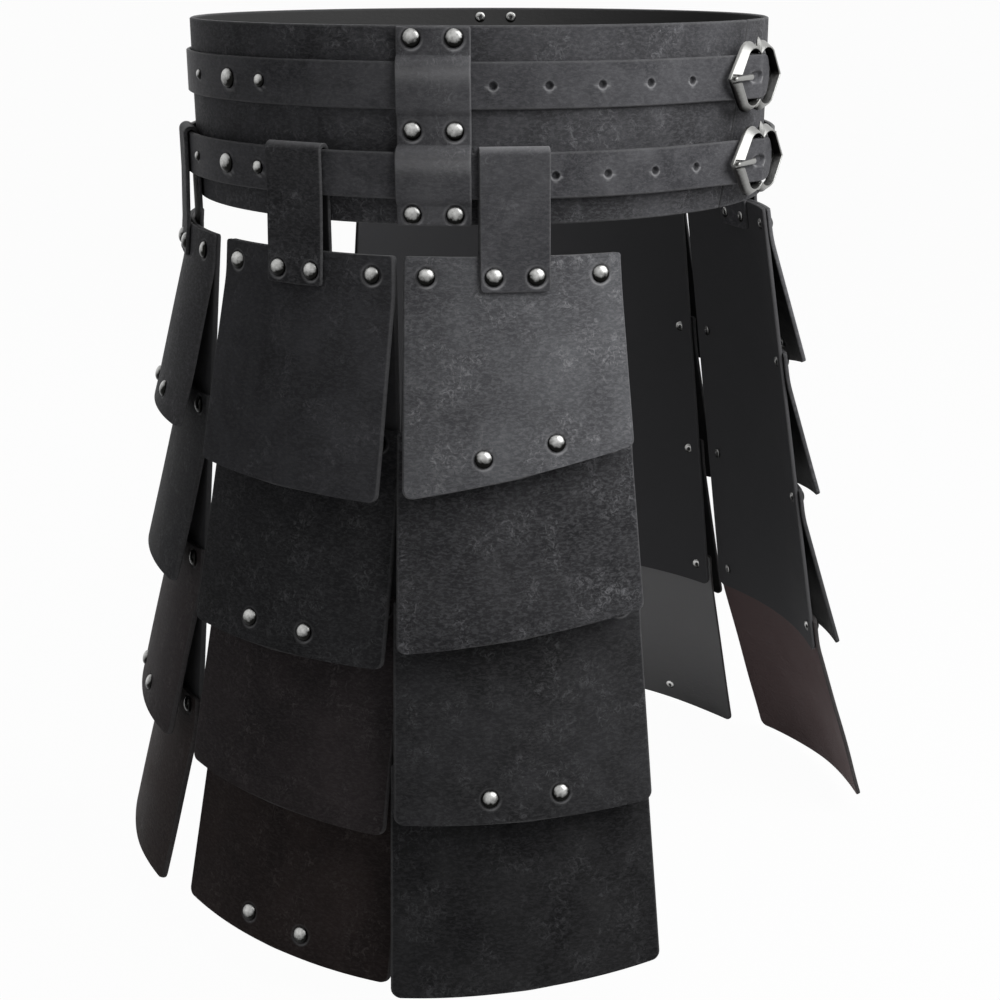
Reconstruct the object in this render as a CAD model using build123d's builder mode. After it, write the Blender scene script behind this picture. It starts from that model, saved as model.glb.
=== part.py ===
from build123d import *
import math
import os

# A leather fauld: a tall waist band with two narrow buckled belts round it,
# and six hanging tassets of overlapping lames, three over each hip.
# The origin is the centre of the waist opening, half way up the band.
# The front of the wearer is towards -Y and the wearer's left is +X.
# Angles named here are degrees from the front, growing towards the wearer's left.

# Waist band
ring_radius = 190.0
band_leather = 3.0
band_height = 110.0
slit_width = 3.0
slit_top_turn = 3.0
slit_bottom_turn = -6.0

# Belts
belt_width = 25.0
belt_leather = 3.0
belt_spacing = 50.0
upper_belt_drop = 32.0
hole_size = 4.4
hole_sides = 6
hole_pitch = 32.0
hole_count = 7
first_hole_reach = 24.0
tail_length = 22.0
fold_length = 50.0

# Buckles
bar_radius = 1.8
bar_play = 0.05
buckle_half_width = 35.0
buckle_lobe_height = 21.0
buckle_cusp_height = 17.0
buckle_eye_half_width = 28.5
buckle_eye_lobe_height = 16.6
buckle_eye_cusp_height = 13.2
buckle_thickness = 6.0
buckle_bevel = 1.2
leaf_height = 23.5
leaf_half_width = 2.2
frame_lift = 0.9
shoulder_shares = (0.56, 0.82)
eye_shoulder_shares = (0.62, 0.86)
lobe_share = 0.27
prong_width = 4.0
prong_thickness = 2.6
prong_rise = 7.1
prong_knee = 9.0
prong_reach = 33.0
prong_eye_wall = 1.8
prong_play = 0.5

# Keeper plates
keeper_width = 41.0
keeper_leather = 3.0
keeper_turns = {"right_keeper": -65.0, "left_keeper": 119.4}
keeper_rivet_spacing = 24.0
keeper_rivet_inset = 6.0
keeper_mid_lift = 1.2
keeper_foot_lift = 4.2
keeper_slope = 2.6
keeper_margin = 0.5

# Hanger straps
strap_width = 40.0
strap_leather = 2.5
strap_lap = 20.0
strap_drop = 34.0
strap_rise = 1.0
fold_rise = 1.7
strap_rivet_spacing = 24.8

# Tassets
side_tasset_turn = 90.6
front_tasset_pitch = 129.7
back_tasset_pitch = 142.3
front_slopes = {"right": 7.1, "left": 9.0}
side_slopes = {"right": 4.5, "left": 7.5}
back_slope = 6.0
crease_turn = 8.0
backing_leather = 3.0
lame_leather = 3.0
lame_pitch = 103.0
front_lame_lengths = ((115.0, 141.0), (112.0, 132.0), (129.0, 136.0), (132.0, 145.0))
side_lame_lengths = ((145.0, 138.0), (145.0, 142.0), (149.0, 138.0), (146.0, 135.0))
back_lame_lengths = ((126.0, 124.0), (126.0, 124.0), (131.0, 127.0), (133.0, 131.0))
left_foot_extra = 25.0
lame_land = 22.0
lame_flare = 8.8
lame_count = 4
lame_corner = 4.0
lame_top_half_widths = (63.0, 69.5, 74.5, 79.0)
lame_bottom_half_widths = (68.5, 74.5, 79.0, 84.0)
backing_hem = 13.0
backing_inset = 1.0
wing_reach = 30.0

# Rivets
rivet_drop = 11.5
rivet_inset = 12.0
cap_radius = 5.4
cap_height = 2.4
cap_taper = 38.0
cap_sides = 6
post_size = 2.8
punch_gap = 0.1
post_proud = 0.6
stud_spacing = 43.0
stud_rise = 15.0
belt_rivet_turns = (-122.0, -108.8, -99.5)
belt_rivet_radii = (3.0, 6.0, 4.0)
fold_rivet_radius = 4.0
fold_rivet_share = 0.84

# Fits
seat_gap = 0.3
overrun = 10.0

# Sizes worked out from those above
band_inner = ring_radius - band_leather
band_top = band_height / 2
upper_belt_z = band_top - upper_belt_drop
lower_belt_z = upper_belt_z - belt_spacing
half_belt = belt_width / 2
half_strap = strap_width / 2

upper_belt_inner = ring_radius + seat_gap
inner_leg_back = ring_radius + seat_gap + strap_leather
lower_belt_inner = math.hypot(inner_leg_back, half_strap) + seat_gap
outer_leg_face = lower_belt_inner + belt_leather + seat_gap
lower_belt_bottom = lower_belt_z - half_belt

tasset_top = lower_belt_bottom - strap_drop
stack = backing_leather + lame_leather
backing_length = (lame_count - 1) * lame_pitch + rivet_drop + backing_hem
hole = post_size + punch_gap
punch_depth = stack + 2 * strap_leather + overrun
reach = 2 * ring_radius
wing_turn = 2 * crease_turn
front_tasset_turn = side_tasset_turn - math.degrees(front_tasset_pitch / ring_radius)
back_tasset_turn = side_tasset_turn + math.degrees(back_tasset_pitch / ring_radius)


def longer_foot(lengths):
    """Lengths of a left tasset's lames, whose lowest lame is cut longer."""
    return (*lengths[:-1], tuple(edge + left_foot_extra for edge in lengths[-1]))


# Turn, slope, and lengths of the lames' front and back edges of every tasset
tassets = {
    "right_front": (-front_tasset_turn, front_slopes["right"], front_lame_lengths),
    "right_side": (-side_tasset_turn, side_slopes["right"], side_lame_lengths),
    "right_back": (-back_tasset_turn, back_slope, back_lame_lengths),
    "left_front": (front_tasset_turn, front_slopes["left"],
                   longer_foot(front_lame_lengths)),
    "left_side": (side_tasset_turn, side_slopes["left"], longer_foot(side_lame_lengths)),
    "left_back": (back_tasset_turn, back_slope, back_lame_lengths),
}
cap_rotation = math.degrees(math.pi / cap_sides)

os.makedirs("parts", exist_ok=True)


def outward(turn):
    """Unit direction away from the wearer at this turn from the front."""
    angle = math.radians(turn)
    return Vector(math.sin(angle), -math.cos(angle), 0)


def sideways(turn):
    """Unit direction along the waist, towards growing turns."""
    angle = math.radians(turn)
    return Vector(math.cos(angle), math.sin(angle), 0)


def radial_plane(turn, origin=(0, 0, 0)):
    """Upright plane square to the waist: x runs outward and y runs up."""
    return Plane(origin=origin, x_dir=outward(turn), z_dir=sideways(turn) * -1)


def facing_plane(turn, distance, height=0, along=0, tilt=0):
    """Plane seen from outside: x runs along the waist, z outward and tilted up."""
    lean = math.radians(tilt)
    origin = outward(turn) * distance + sideways(turn) * along + Vector(0, 0, height)
    normal = outward(turn) * math.cos(lean) + Vector(0, 0, math.sin(lean))
    return Plane(origin=origin, x_dir=sideways(turn), z_dir=normal)


def save(part, name):
    """Label one finished piece and write it."""
    part.label = name
    export_step(part, f"parts/{name}.step")


def on_slope(slope, down, out):
    """Radius and height at a place on a tasset: down its backing, out from it."""
    lean = math.radians(slope)
    radius = inner_leg_back + down * math.sin(lean) + out * math.cos(lean)
    height = tasset_top - down * math.cos(lean) + out * math.sin(lean)
    return radius, height


def on_flare(slope, index, down, out):
    """Radius and height on a lame past its riveted land: down the flare, out from it."""
    lean = math.radians(slope + lame_flare)
    radius, height = on_slope(slope, index * lame_pitch + lame_land, backing_leather)
    radius += down * math.sin(lean) + out * math.cos(lean)
    height += out * math.sin(lean) - down * math.cos(lean)
    return radius, height


def at_bend(slope, index, out):
    """Radius and height where a lame turns outward below its riveted land."""
    radius, height = on_slope(slope, index * lame_pitch + lame_land, backing_leather)
    lean = math.radians(slope + lame_flare / 2)
    lift = out / math.cos(math.radians(lame_flare) / 2)
    radius += lift * math.cos(lean)
    height += lift * math.sin(lean)
    return radius, height


def edge_down(turn, index, lengths, along):
    """Length of a lame at a place along the waist, between its two side edges."""
    front, back = lengths[index]
    share = math.copysign(along, along * turn) / lame_bottom_half_widths[index] / 2
    return (front + back) / 2 + (back - front) * share


def corner_along(index, radius):
    """How far along a side facet the corner rivet of a lame lies."""
    turn = math.radians(wing_turn)
    half_width = lame_top_half_widths[index] - rivet_inset
    return (half_width - radius * math.sin(turn)) / math.cos(turn)


def make_rivet(grip, radius):
    """A capped rivet: its cap sits on z = 0 and its post runs down past the grip.

    A stud or small belt rivet has no grip: only its cap is modelled.
    """
    with BuildPart() as rivet:
        with BuildSketch():
            RegularPolygon(radius, cap_sides, rotation=cap_rotation)
        extrude(amount=cap_height * radius / cap_radius, taper=cap_taper)
        if grip:
            with BuildSketch():
                Rectangle(post_size, post_size)
            extrude(amount=-grip - post_proud)
    return rivet.part


def facet_sheet(turn, profile):
    """A leather sheet in three flat facets, swept along the creased waist line."""
    start = outward(turn + wing_turn) * inner_leg_back + sideways(turn + wing_turn) * wing_reach
    crease = inner_leg_back / math.cos(math.radians(crease_turn))
    end = outward(turn - wing_turn) * inner_leg_back - sideways(turn - wing_turn) * wing_reach
    with BuildPart() as sheet:
        with BuildLine():
            Polyline(start, outward(turn + crease_turn) * crease,
                     outward(turn - crease_turn) * crease, end)
        with BuildSketch(radial_plane(turn + wing_turn, start)):
            with BuildLine():
                Polyline([(radius - inner_leg_back, height) for radius, height in profile],
                         close=True)
            make_face()
        sweep(transition=Transition.RIGHT)
    return sheet.part


def trimmed(sheet, turn, top, feet, top_half_width, bottom_half_width, hole_planes):
    """Cut a sheet to its outline, clip its lower corners and punch its rivet holes.

    The feet are the heights of its lower edge towards falling and growing turns.
    """
    clip = bottom_half_width - lame_corner
    with BuildPart() as piece:
        add(sheet)
        with BuildSketch(facing_plane(turn, 0)):
            with BuildLine():
                Polyline(
                    (-top_half_width, top + overrun),
                    (top_half_width, top + overrun),
                    (top_half_width, top),
                    (bottom_half_width, feet[1] + lame_corner),
                    (clip, feet[1]),
                    (-clip, feet[0]),
                    (-bottom_half_width, feet[0] + lame_corner),
                    (-top_half_width, top),
                    close=True,
                )
            make_face()
        extrude(amount=reach, mode=Mode.INTERSECT)
        with BuildSketch(*hole_planes):
            Rectangle(hole, hole)
        extrude(amount=punch_depth, both=True, mode=Mode.SUBTRACT)
    return piece.part


def corner_planes(turn, slope, index):
    """Planes on the outer face of a lame at its two upper corner rivets."""
    radius, height = on_slope(slope, index * lame_pitch + rivet_drop, stack)
    along = corner_along(index, radius)
    return [
        facing_plane(turn + wing_turn, radius, height, along, slope),
        facing_plane(turn - wing_turn, radius, height, -along, slope),
    ]


def strap_planes(turn, slope):
    """Planes on the outer leg of the hanger strap at its two rivets."""
    radius, height = on_slope(slope, rivet_drop, stack + strap_leather)
    half = strap_rivet_spacing / 2
    return [facing_plane(turn, radius, height, side, slope) for side in (-half, half)]


def stud_planes(turn, slope, index, lengths):
    """Planes on the outer face of a lame at its two studs, which follow its lower edge."""
    planes = []
    for along in (-stud_spacing / 2, stud_spacing / 2):
        down = edge_down(turn, index, lengths, along) - lame_land - stud_rise
        radius, height = on_flare(slope, index, down, lame_leather)
        planes.append(facing_plane(turn, radius, height, along, slope + lame_flare))
    return planes


def band_rivet(turn, height, distance, along):
    """Place of a rivet that ends inside the band, its grip and its cap radius."""
    spread = abs(along) + post_size / 2
    grip = distance - math.sqrt(band_inner**2 - spread**2)
    return facing_plane(turn, distance, height, along), grip, cap_radius


# Rivets of the keeper plates
keeper_heights = (
    band_top - keeper_rivet_inset,
    (upper_belt_z + lower_belt_z) / 2,
    keeper_rivet_inset - band_top,
)
keeper_lifts = (0.0, keeper_mid_lift, keeper_foot_lift)
keeper_places = [
    band_rivet(turn, height, upper_belt_inner + lift + keeper_leather, side)
    for turn in keeper_turns.values()
    for height, lift in zip(keeper_heights, keeper_lifts)
    for side in (-keeper_rivet_spacing / 2, keeper_rivet_spacing / 2)
]

# Each belt is one strap: a fold round the buckle bar, once round the waist, and a tail
belts = {
    "upper": (upper_belt_inner, upper_belt_z),
    "lower": (lower_belt_inner, lower_belt_z),
}
eye_radius = bar_radius + seat_gap + belt_leather / 2
over_radius = eye_radius + belt_leather + seat_gap


def bar_distance(inner):
    """Distance of a buckle's centre bar from the axis."""
    return inner + belt_leather + seat_gap + bar_radius


def fold_turn(inner):
    """Lean of the folded end, so that it lies flat against the strap below."""
    landing = inner + belt_leather + seat_gap + belt_leather / 2
    return math.degrees(math.acos((landing - eye_radius) / bar_distance(inner)))


def belt_places(inner, height):
    """Rivets of one belt: three near the right hip and one on its buckle fold."""
    bar, lean = bar_distance(inner), fold_turn(inner)
    across = fold_length * fold_rivet_share - bar * math.sin(math.radians(lean))
    face = bar * math.cos(math.radians(lean)) + eye_radius + belt_leather / 2
    hip_face = inner + belt_leather
    return [
        (facing_plane(turn, hip_face, height), 0, radius)
        for turn, radius in zip(belt_rivet_turns, belt_rivet_radii)
    ] + [(facing_plane(lean, face, height, across), 0, fold_rivet_radius)]


def make_belt(inner, height):
    """One belt with its buckle fold, prong slots, punched holes and rounded tail."""
    middle = inner + belt_leather / 2
    bar, lean = bar_distance(inner), fold_turn(inner)
    centre = outward(0) * bar
    bar_out = bar * math.cos(math.radians(lean))
    bar_across = bar * math.sin(math.radians(lean))
    leave = math.degrees(math.acos((middle - over_radius) / bar))
    top = centre + outward(lean) * over_radius
    fold_top = centre + outward(lean) * eye_radius
    with BuildPart() as belt:
        with BuildSketch(Plane.XY.offset(height)):
            with BuildLine():
                Line(fold_top + sideways(lean) * fold_length, fold_top)
                ThreePointArc(fold_top, centre - sideways(0) * eye_radius,
                              centre - outward(0) * eye_radius)
                CenterArc((0, 0), middle, -90, 360 - leave)
                rise = Line(outward(-leave) * middle, centre + outward(-leave) * over_radius)
                ThreePointArc(rise @ 1, centre + outward((lean - leave) / 2) * over_radius, top)
                Line(top, top + sideways(lean) * tail_length)
            trace(line_width=belt_leather)
        extrude(amount=half_belt, both=True)
        slot = prong_width + 2 * prong_play
        slot_reach = eye_radius + (belt_leather + seat_gap) / 2
        with BuildSketch(facing_plane(lean, bar_out - over_radius, height, -bar_across)):
            Rectangle(2 * slot_reach, slot)
        extrude(amount=over_radius + slot_reach, mode=Mode.SUBTRACT)
        with BuildSketch(facing_plane(0, bar, height, -prong_knee)):
            Rectangle(prong_knee + over_radius, slot)
        extrude(amount=over_radius + belt_leather, mode=Mode.SUBTRACT)
        for number in range(hole_count):
            turn = -math.degrees((first_hole_reach + number * hole_pitch) / middle)
            with BuildSketch(facing_plane(turn, inner - seat_gap, height)):
                RegularPolygon(hole_size / 2, hole_sides)
            extrude(amount=2 * belt_leather + seat_gap, mode=Mode.SUBTRACT)
        tail_face = bar_out + over_radius + belt_leather / 2
        with BuildSketch(facing_plane(lean, tail_face, height, tail_length - bar_across)):
            Rectangle(half_belt, belt_width, align=(Align.MAX, Align.CENTER))
            with Locations((-half_belt, 0)):
                Circle(half_belt, mode=Mode.SUBTRACT)
        extrude(amount=-belt_leather - seat_gap / 2, mode=Mode.SUBTRACT)
    return belt.part


def lobed_outline(half_width, lobe, cusp, shares):
    """Buckle outline: pointed tips, and long sides that swell to lobes and dip to a cusp."""
    across = half_width * shares[0]
    shoulder = lobe * shares[1]
    crest = half_width * lobe_share
    for up in (1, -1):
        for side in (1, -1):
            Line((side * half_width, 0), (side * across, up * shoulder))
            ThreePointArc((side * across, up * shoulder), (side * crest, up * lobe),
                          (0, up * cusp))


def make_buckle(inner, height):
    """Cast buckle: a lobed frame with a leaf at its upper cusp, and a low centre bar."""
    bar = bar_distance(inner)
    face = bar + bar_radius + seat_gap + frame_lift
    leg_height = (buckle_cusp_height + buckle_eye_cusp_height) / 2
    with BuildPart() as buckle:
        with BuildSketch(facing_plane(0, face, height)):
            with BuildLine():
                lobed_outline(buckle_half_width, buckle_lobe_height, buckle_cusp_height,
                              shoulder_shares)
            make_face()
        extrude(amount=buckle_thickness)
        chamfer(buckle.faces().sort_by(Axis.Y)[0].edges(), length=buckle_bevel)
        with BuildSketch(facing_plane(0, face, height)):
            with BuildLine():
                lobed_outline(buckle_eye_half_width, buckle_eye_lobe_height,
                              buckle_eye_cusp_height, eye_shoulder_shares)
            make_face()
        extrude(amount=buckle_thickness, mode=Mode.SUBTRACT)
        with BuildSketch(facing_plane(0, face, height)):
            with BuildLine():
                Polyline((-leaf_half_width, buckle_cusp_height), (0, leaf_height),
                         (leaf_half_width, buckle_cusp_height),
                         (0, buckle_eye_cusp_height), close=True)
            make_face()
        extrude(amount=buckle_thickness)
        with BuildSketch(facing_plane(0, bar - bar_radius, height)):
            with Locations((0, leg_height), (0, -leg_height)):
                Rectangle(2 * leaf_half_width, buckle_cusp_height - buckle_eye_cusp_height)
        extrude(amount=face - bar + bar_radius + buckle_thickness / 2)
        with BuildSketch(Plane.XY.offset(height - leg_height)):
            with Locations(outward(0) * bar):
                Circle(bar_radius)
        extrude(amount=2 * leg_height)
        with BuildSketch(facing_plane(0, bar + prong_rise - prong_thickness / 2, height)):
            with Locations((-buckle_half_width, 0)):
                Rectangle(buckle_half_width, prong_width + prong_play)
        extrude(amount=buckle_thickness, mode=Mode.SUBTRACT)
    return buckle.part


def make_prong(inner, height):
    """Prong: an eye round the centre bar and a finger bent to rest on the frame's tip."""
    centre = outward(0) * bar_distance(inner)
    with BuildPart() as prong:
        with BuildSketch(Plane.XY.offset(height)):
            with BuildLine():
                Polyline(
                    centre,
                    centre + outward(0) * prong_rise - sideways(0) * prong_knee,
                    centre + outward(0) * prong_rise - sideways(0) * prong_reach,
                )
            trace(line_width=prong_thickness)
            with Locations(centre):
                Circle(bar_radius + prong_eye_wall)
                Circle(bar_radius + bar_play, mode=Mode.SUBTRACT)
        extrude(amount=prong_width / 2, both=True)
    return prong.part


def make_keeper(turn, places):
    """Leather plate that bulges over both belts and is riveted to the band between."""
    over_upper = upper_belt_inner + belt_leather + seat_gap
    middle = upper_belt_inner + keeper_mid_lift
    foot = upper_belt_inner + keeper_foot_lift
    belt_edges = [upper_belt_z + half_belt, upper_belt_z - half_belt,
                  lower_belt_z + half_belt, lower_belt_z - half_belt]
    with BuildPart() as keeper:
        with BuildSketch(radial_plane(turn)):
            with BuildLine():
                Polyline(
                    (upper_belt_inner, band_top - keeper_margin),
                    (upper_belt_inner, belt_edges[0] + seat_gap + keeper_slope),
                    (over_upper, belt_edges[0] + seat_gap),
                    (over_upper, belt_edges[1] - seat_gap),
                    (middle, belt_edges[1] - seat_gap - keeper_slope),
                    (middle, belt_edges[2] + seat_gap + keeper_slope),
                    (outer_leg_face, belt_edges[2] + seat_gap),
                    (outer_leg_face, belt_edges[3] - seat_gap),
                    (foot, belt_edges[3] - seat_gap - keeper_slope),
                    (foot, keeper_margin - band_top),
                )
                offset(amount=keeper_leather, side=Side.LEFT)
            make_face()
        extrude(amount=keeper_width / 2, both=True)
        with BuildSketch(*[plane for plane, grip, radius in places]):
            Rectangle(hole, hole)
        extrude(amount=punch_depth, both=True, mode=Mode.SUBTRACT)
    return keeper.part


def make_strap(turn, slope):
    """Hanger strap: one strip folded over the lower belt, gripping a tasset's top."""
    belt_top = lower_belt_z + half_belt
    fold_slope = (outer_leg_face - inner_leg_back) / 4
    with BuildPart() as strap:
        with BuildSketch(radial_plane(turn)):
            with BuildLine():
                Polyline(
                    on_slope(slope, strap_lap, 0),
                    on_slope(slope, -strap_rise, 0),
                    (inner_leg_back, belt_top),
                    (inner_leg_back + fold_slope, belt_top + fold_rise),
                    (outer_leg_face - fold_slope, belt_top + fold_rise),
                    (outer_leg_face, belt_top),
                    (outer_leg_face, lower_belt_bottom),
                    on_slope(slope, -strap_rise, stack),
                    on_slope(slope, strap_lap, stack),
                )
                offset(amount=strap_leather, side=Side.LEFT)
            make_face()
        extrude(amount=half_strap, both=True)
        with BuildSketch(*strap_planes(turn, slope)):
            Rectangle(hole, hole)
        extrude(amount=punch_depth, both=True, mode=Mode.SUBTRACT)
    return strap.part


def make_backing(turn, slope):
    """Full sheet that the four lames of a tasset are riveted to."""
    profile = [
        on_slope(slope, 0, 0),
        on_slope(slope, backing_length, 0),
        on_slope(slope, backing_length, backing_leather),
        on_slope(slope, 0, backing_leather),
    ]
    planes = [
        plane for index in range(lame_count) for plane in corner_planes(turn, slope, index)
    ]
    return trimmed(
        facet_sheet(turn, profile), turn, profile[3][1], [profile[1][1]] * 2,
        lame_top_half_widths[0] - backing_inset,
        lame_top_half_widths[-1] - backing_inset,
        planes + strap_planes(turn, slope),
    )


def make_lame(turn, slope, index, lengths, planes):
    """One lame: a riveted land along the backing, then a straight outward flare."""
    down = index * lame_pitch
    flare = max(lengths[index]) - lame_land
    half_width = lame_bottom_half_widths[index]
    feet = [
        on_flare(slope, index, edge_down(turn, index, lengths, along) - lame_land, 0)[1]
        for along in (-half_width, half_width)
    ]
    profile = [
        on_slope(slope, down, backing_leather),
        at_bend(slope, index, 0),
        on_flare(slope, index, flare + lame_corner, 0),
        on_flare(slope, index, flare + lame_corner, lame_leather),
        at_bend(slope, index, lame_leather),
        on_slope(slope, down, stack),
    ]
    return trimmed(
        facet_sheet(turn, profile), turn, profile[5][1], feet,
        lame_top_half_widths[index], half_width, planes,
    )


def make_rivets(places):
    """A set of rivets as separate solids, one at each place."""
    with BuildPart() as rivets:
        for plane, grip, radius in places:
            with Locations(plane):
                add(make_rivet(grip, radius))
    return rivets.part


# Waist band, with a slanted slit where its ends meet at the front
slit_top = outward(slit_top_turn) * ring_radius
slit_foot = outward(slit_bottom_turn) * ring_radius
slit_lean = math.degrees(math.atan2(slit_top.X - slit_foot.X, band_height))
belt_rivet_places = [
    place for inner, height in belts.values() for place in belt_places(inner, height)
]
with BuildPart() as waist_band:
    with BuildSketch(Plane.XY.offset(-band_top)):
        Circle(ring_radius)
        Circle(band_inner, mode=Mode.SUBTRACT)
    extrude(amount=band_height)
    with BuildSketch(facing_plane((slit_top_turn + slit_bottom_turn) / 2, 0)):
        Rectangle(slit_width, band_height + 2 * overrun, rotation=-slit_lean)
    extrude(amount=reach, mode=Mode.SUBTRACT)
    with BuildSketch(*[plane for plane, grip, radius in keeper_places]):
        Rectangle(hole, hole)
    extrude(amount=-punch_depth, mode=Mode.SUBTRACT)
save(waist_band.part, "waist_band")
save(make_rivets(belt_rivet_places), "belt_rivets")
save(make_rivets(keeper_places), "keeper_rivets")

# Belts with their buckles and prongs
for name, (inner, height) in belts.items():
    save(make_belt(inner, height), f"{name}_belt")
    save(make_buckle(inner, height), f"{name}_buckle")
    save(make_prong(inner, height), f"{name}_prong")

# Keeper plates
for name, turn in keeper_turns.items():
    save(make_keeper(turn, keeper_places), name)

# Six tassets, each with its hanger strap, backing, four lames and rivets
studded_lames = {
    "right_front": (0, 2),
    "right_side": (1, 3),
    "right_back": (0, 2),
    "left_front": (0, 2),
    "left_side": (1, 3),
    "left_back": (0, 2),
}
for name, (turn, slope, lengths) in tassets.items():
    hung = strap_planes(turn, slope)
    places = [(plane, stack + 2 * strap_leather, cap_radius) for plane in hung]
    save(make_strap(turn, slope), f"{name}_strap")
    save(make_backing(turn, slope), f"{name}_backing")
    for index in range(lame_count):
        corners = corner_planes(turn, slope, index)
        studded = index in studded_lames[name]
        studs = stud_planes(turn, slope, index, lengths) if studded else []
        places += [(plane, stack, cap_radius) for plane in corners]
        places += [(plane, 0, cap_radius) for plane in studs]
        punched = corners + (hung if index == 0 else [])
        save(make_lame(turn, slope, index, lengths, punched), f"{name}_lame_{index + 1}")
    save(make_rivets(places), f"{name}_rivets")
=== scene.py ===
"""A black leather fauld: its finished skins, materials, studio and camera.

Sizes are in millimetres, as in the part's source, and become metres when a mesh is
made. Turns are degrees from the wearer's front, growing towards the wearer's left.
"""

from __future__ import annotations

import logging
import math
from dataclasses import dataclass, field
from enum import Enum

import bpy
import numpy as np
from mathutils import Matrix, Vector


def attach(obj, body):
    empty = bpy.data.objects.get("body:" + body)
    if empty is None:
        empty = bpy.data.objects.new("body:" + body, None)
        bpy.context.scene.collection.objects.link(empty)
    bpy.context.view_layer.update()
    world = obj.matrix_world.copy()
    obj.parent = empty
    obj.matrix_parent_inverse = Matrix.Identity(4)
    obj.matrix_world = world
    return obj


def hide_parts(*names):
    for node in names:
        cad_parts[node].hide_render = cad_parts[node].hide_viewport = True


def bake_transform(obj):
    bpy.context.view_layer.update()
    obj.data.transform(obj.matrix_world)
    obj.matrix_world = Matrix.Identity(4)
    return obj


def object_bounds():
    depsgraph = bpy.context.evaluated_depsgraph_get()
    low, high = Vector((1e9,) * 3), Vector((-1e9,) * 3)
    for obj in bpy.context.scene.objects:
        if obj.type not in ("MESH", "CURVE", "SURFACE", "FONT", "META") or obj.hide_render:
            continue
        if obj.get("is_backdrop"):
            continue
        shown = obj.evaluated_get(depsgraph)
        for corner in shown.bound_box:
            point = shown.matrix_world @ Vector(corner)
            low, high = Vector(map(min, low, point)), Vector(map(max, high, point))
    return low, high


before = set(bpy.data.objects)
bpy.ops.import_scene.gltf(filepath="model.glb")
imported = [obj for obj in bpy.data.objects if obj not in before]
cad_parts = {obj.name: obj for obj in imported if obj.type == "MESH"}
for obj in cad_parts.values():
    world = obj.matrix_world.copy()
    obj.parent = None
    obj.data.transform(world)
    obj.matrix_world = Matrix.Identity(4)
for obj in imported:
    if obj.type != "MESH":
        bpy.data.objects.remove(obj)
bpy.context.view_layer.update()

MM = 0.001
UP = np.array([0.0, 0.0, 1.0])
ASIDE = np.array([1.0, 0.0, 0.0])
log = logging.getLogger("fauld")


# Directions and simple curves


def outward(turn: np.ndarray | float) -> np.ndarray:
    """Unit vectors away from the wearer: (sin turn, -cos turn, 0)."""
    angle = np.radians(np.asarray(turn, float))
    return np.stack([np.sin(angle), -np.cos(angle), np.zeros_like(angle)], axis=-1)


def sideways(turn: np.ndarray | float) -> np.ndarray:
    """Unit vectors along the waist: (cos turn, sin turn, 0)."""
    angle = np.radians(np.asarray(turn, float))
    return np.stack([np.cos(angle), np.sin(angle), np.zeros_like(angle)], axis=-1)


def placed(turn: np.ndarray | float, radius: np.ndarray | float, height: np.ndarray | float,
           aside: np.ndarray | float = 0.0) -> np.ndarray:
    """Points at a turn: radius along outward, aside along sideways, and height up."""
    return (outward(turn) * np.asarray(radius)[..., None]
            + sideways(turn) * np.asarray(aside)[..., None]
            + UP * np.asarray(height)[..., None])


def ease(value: np.ndarray, low: float, high: float) -> np.ndarray:
    """Smooth step from 0 at low to 1 at high: 3t^2 - 2t^3 of the clipped share t."""
    share = np.clip((value - low) / (high - low), 0.0, 1.0)
    return share * share * (3.0 - 2.0 * share)


def bell(value: np.ndarray, middle: float, width: float) -> np.ndarray:
    """Smooth bump of height 1 at a middle: exp(-((v - middle) / width)^2)."""
    return np.exp(-(((value - middle) / width) ** 2))


def unit(vectors: np.ndarray) -> np.ndarray:
    """Each vector divided by its own length."""
    return vectors / np.maximum(np.linalg.norm(vectors, axis=-1, keepdims=True), 1e-12)


def spread(length: float, step: float, rim: tuple[float, ...]) -> np.ndarray:
    """Positions from 0 to a length: even steps, with finer ones by both ends.

    Args:
        length: The whole run in millimetres.
        step: Wanted distance between the even positions.
        rim: Distances from either end that also get a position, growing from 0.

    Returns:
        Sorted positions; the even ones fill the run between the last rim distances.
    """
    ends = np.asarray(rim, float)
    count = max(2, int(round((length - 2 * ends[-1]) / step)) + 1)
    middle = np.linspace(ends[-1], length - ends[-1], count)
    return np.unique(np.round(np.concatenate([ends, middle, length - ends]), 6))


def closer(positions: np.ndarray, spots: list[float], reach: float, step: float) -> np.ndarray:
    """Positions with finer ones added within a reach of given spots.

    Args:
        positions: Sorted positions.
        spots: Places that need a finer grid.
        reach: How far on either side of a spot it is made finer.
        step: Distance between the added positions.

    Returns:
        Sorted positions; near a spot the old ones are left out.
    """
    first, last = positions[0], positions[-1]
    for spot in spots:
        rim = (positions == first) | (positions == last)
        positions = positions[rim | (np.abs(positions - spot) > reach)]
        count = int(round(2 * reach / step)) + 1
        added = np.linspace(spot - reach, spot + reach, count)
        added = added[(added > first + step / 4) & (added < last - step / 4)]
        positions = np.concatenate([positions, added])
    return np.unique(np.round(positions, 4))


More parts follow.
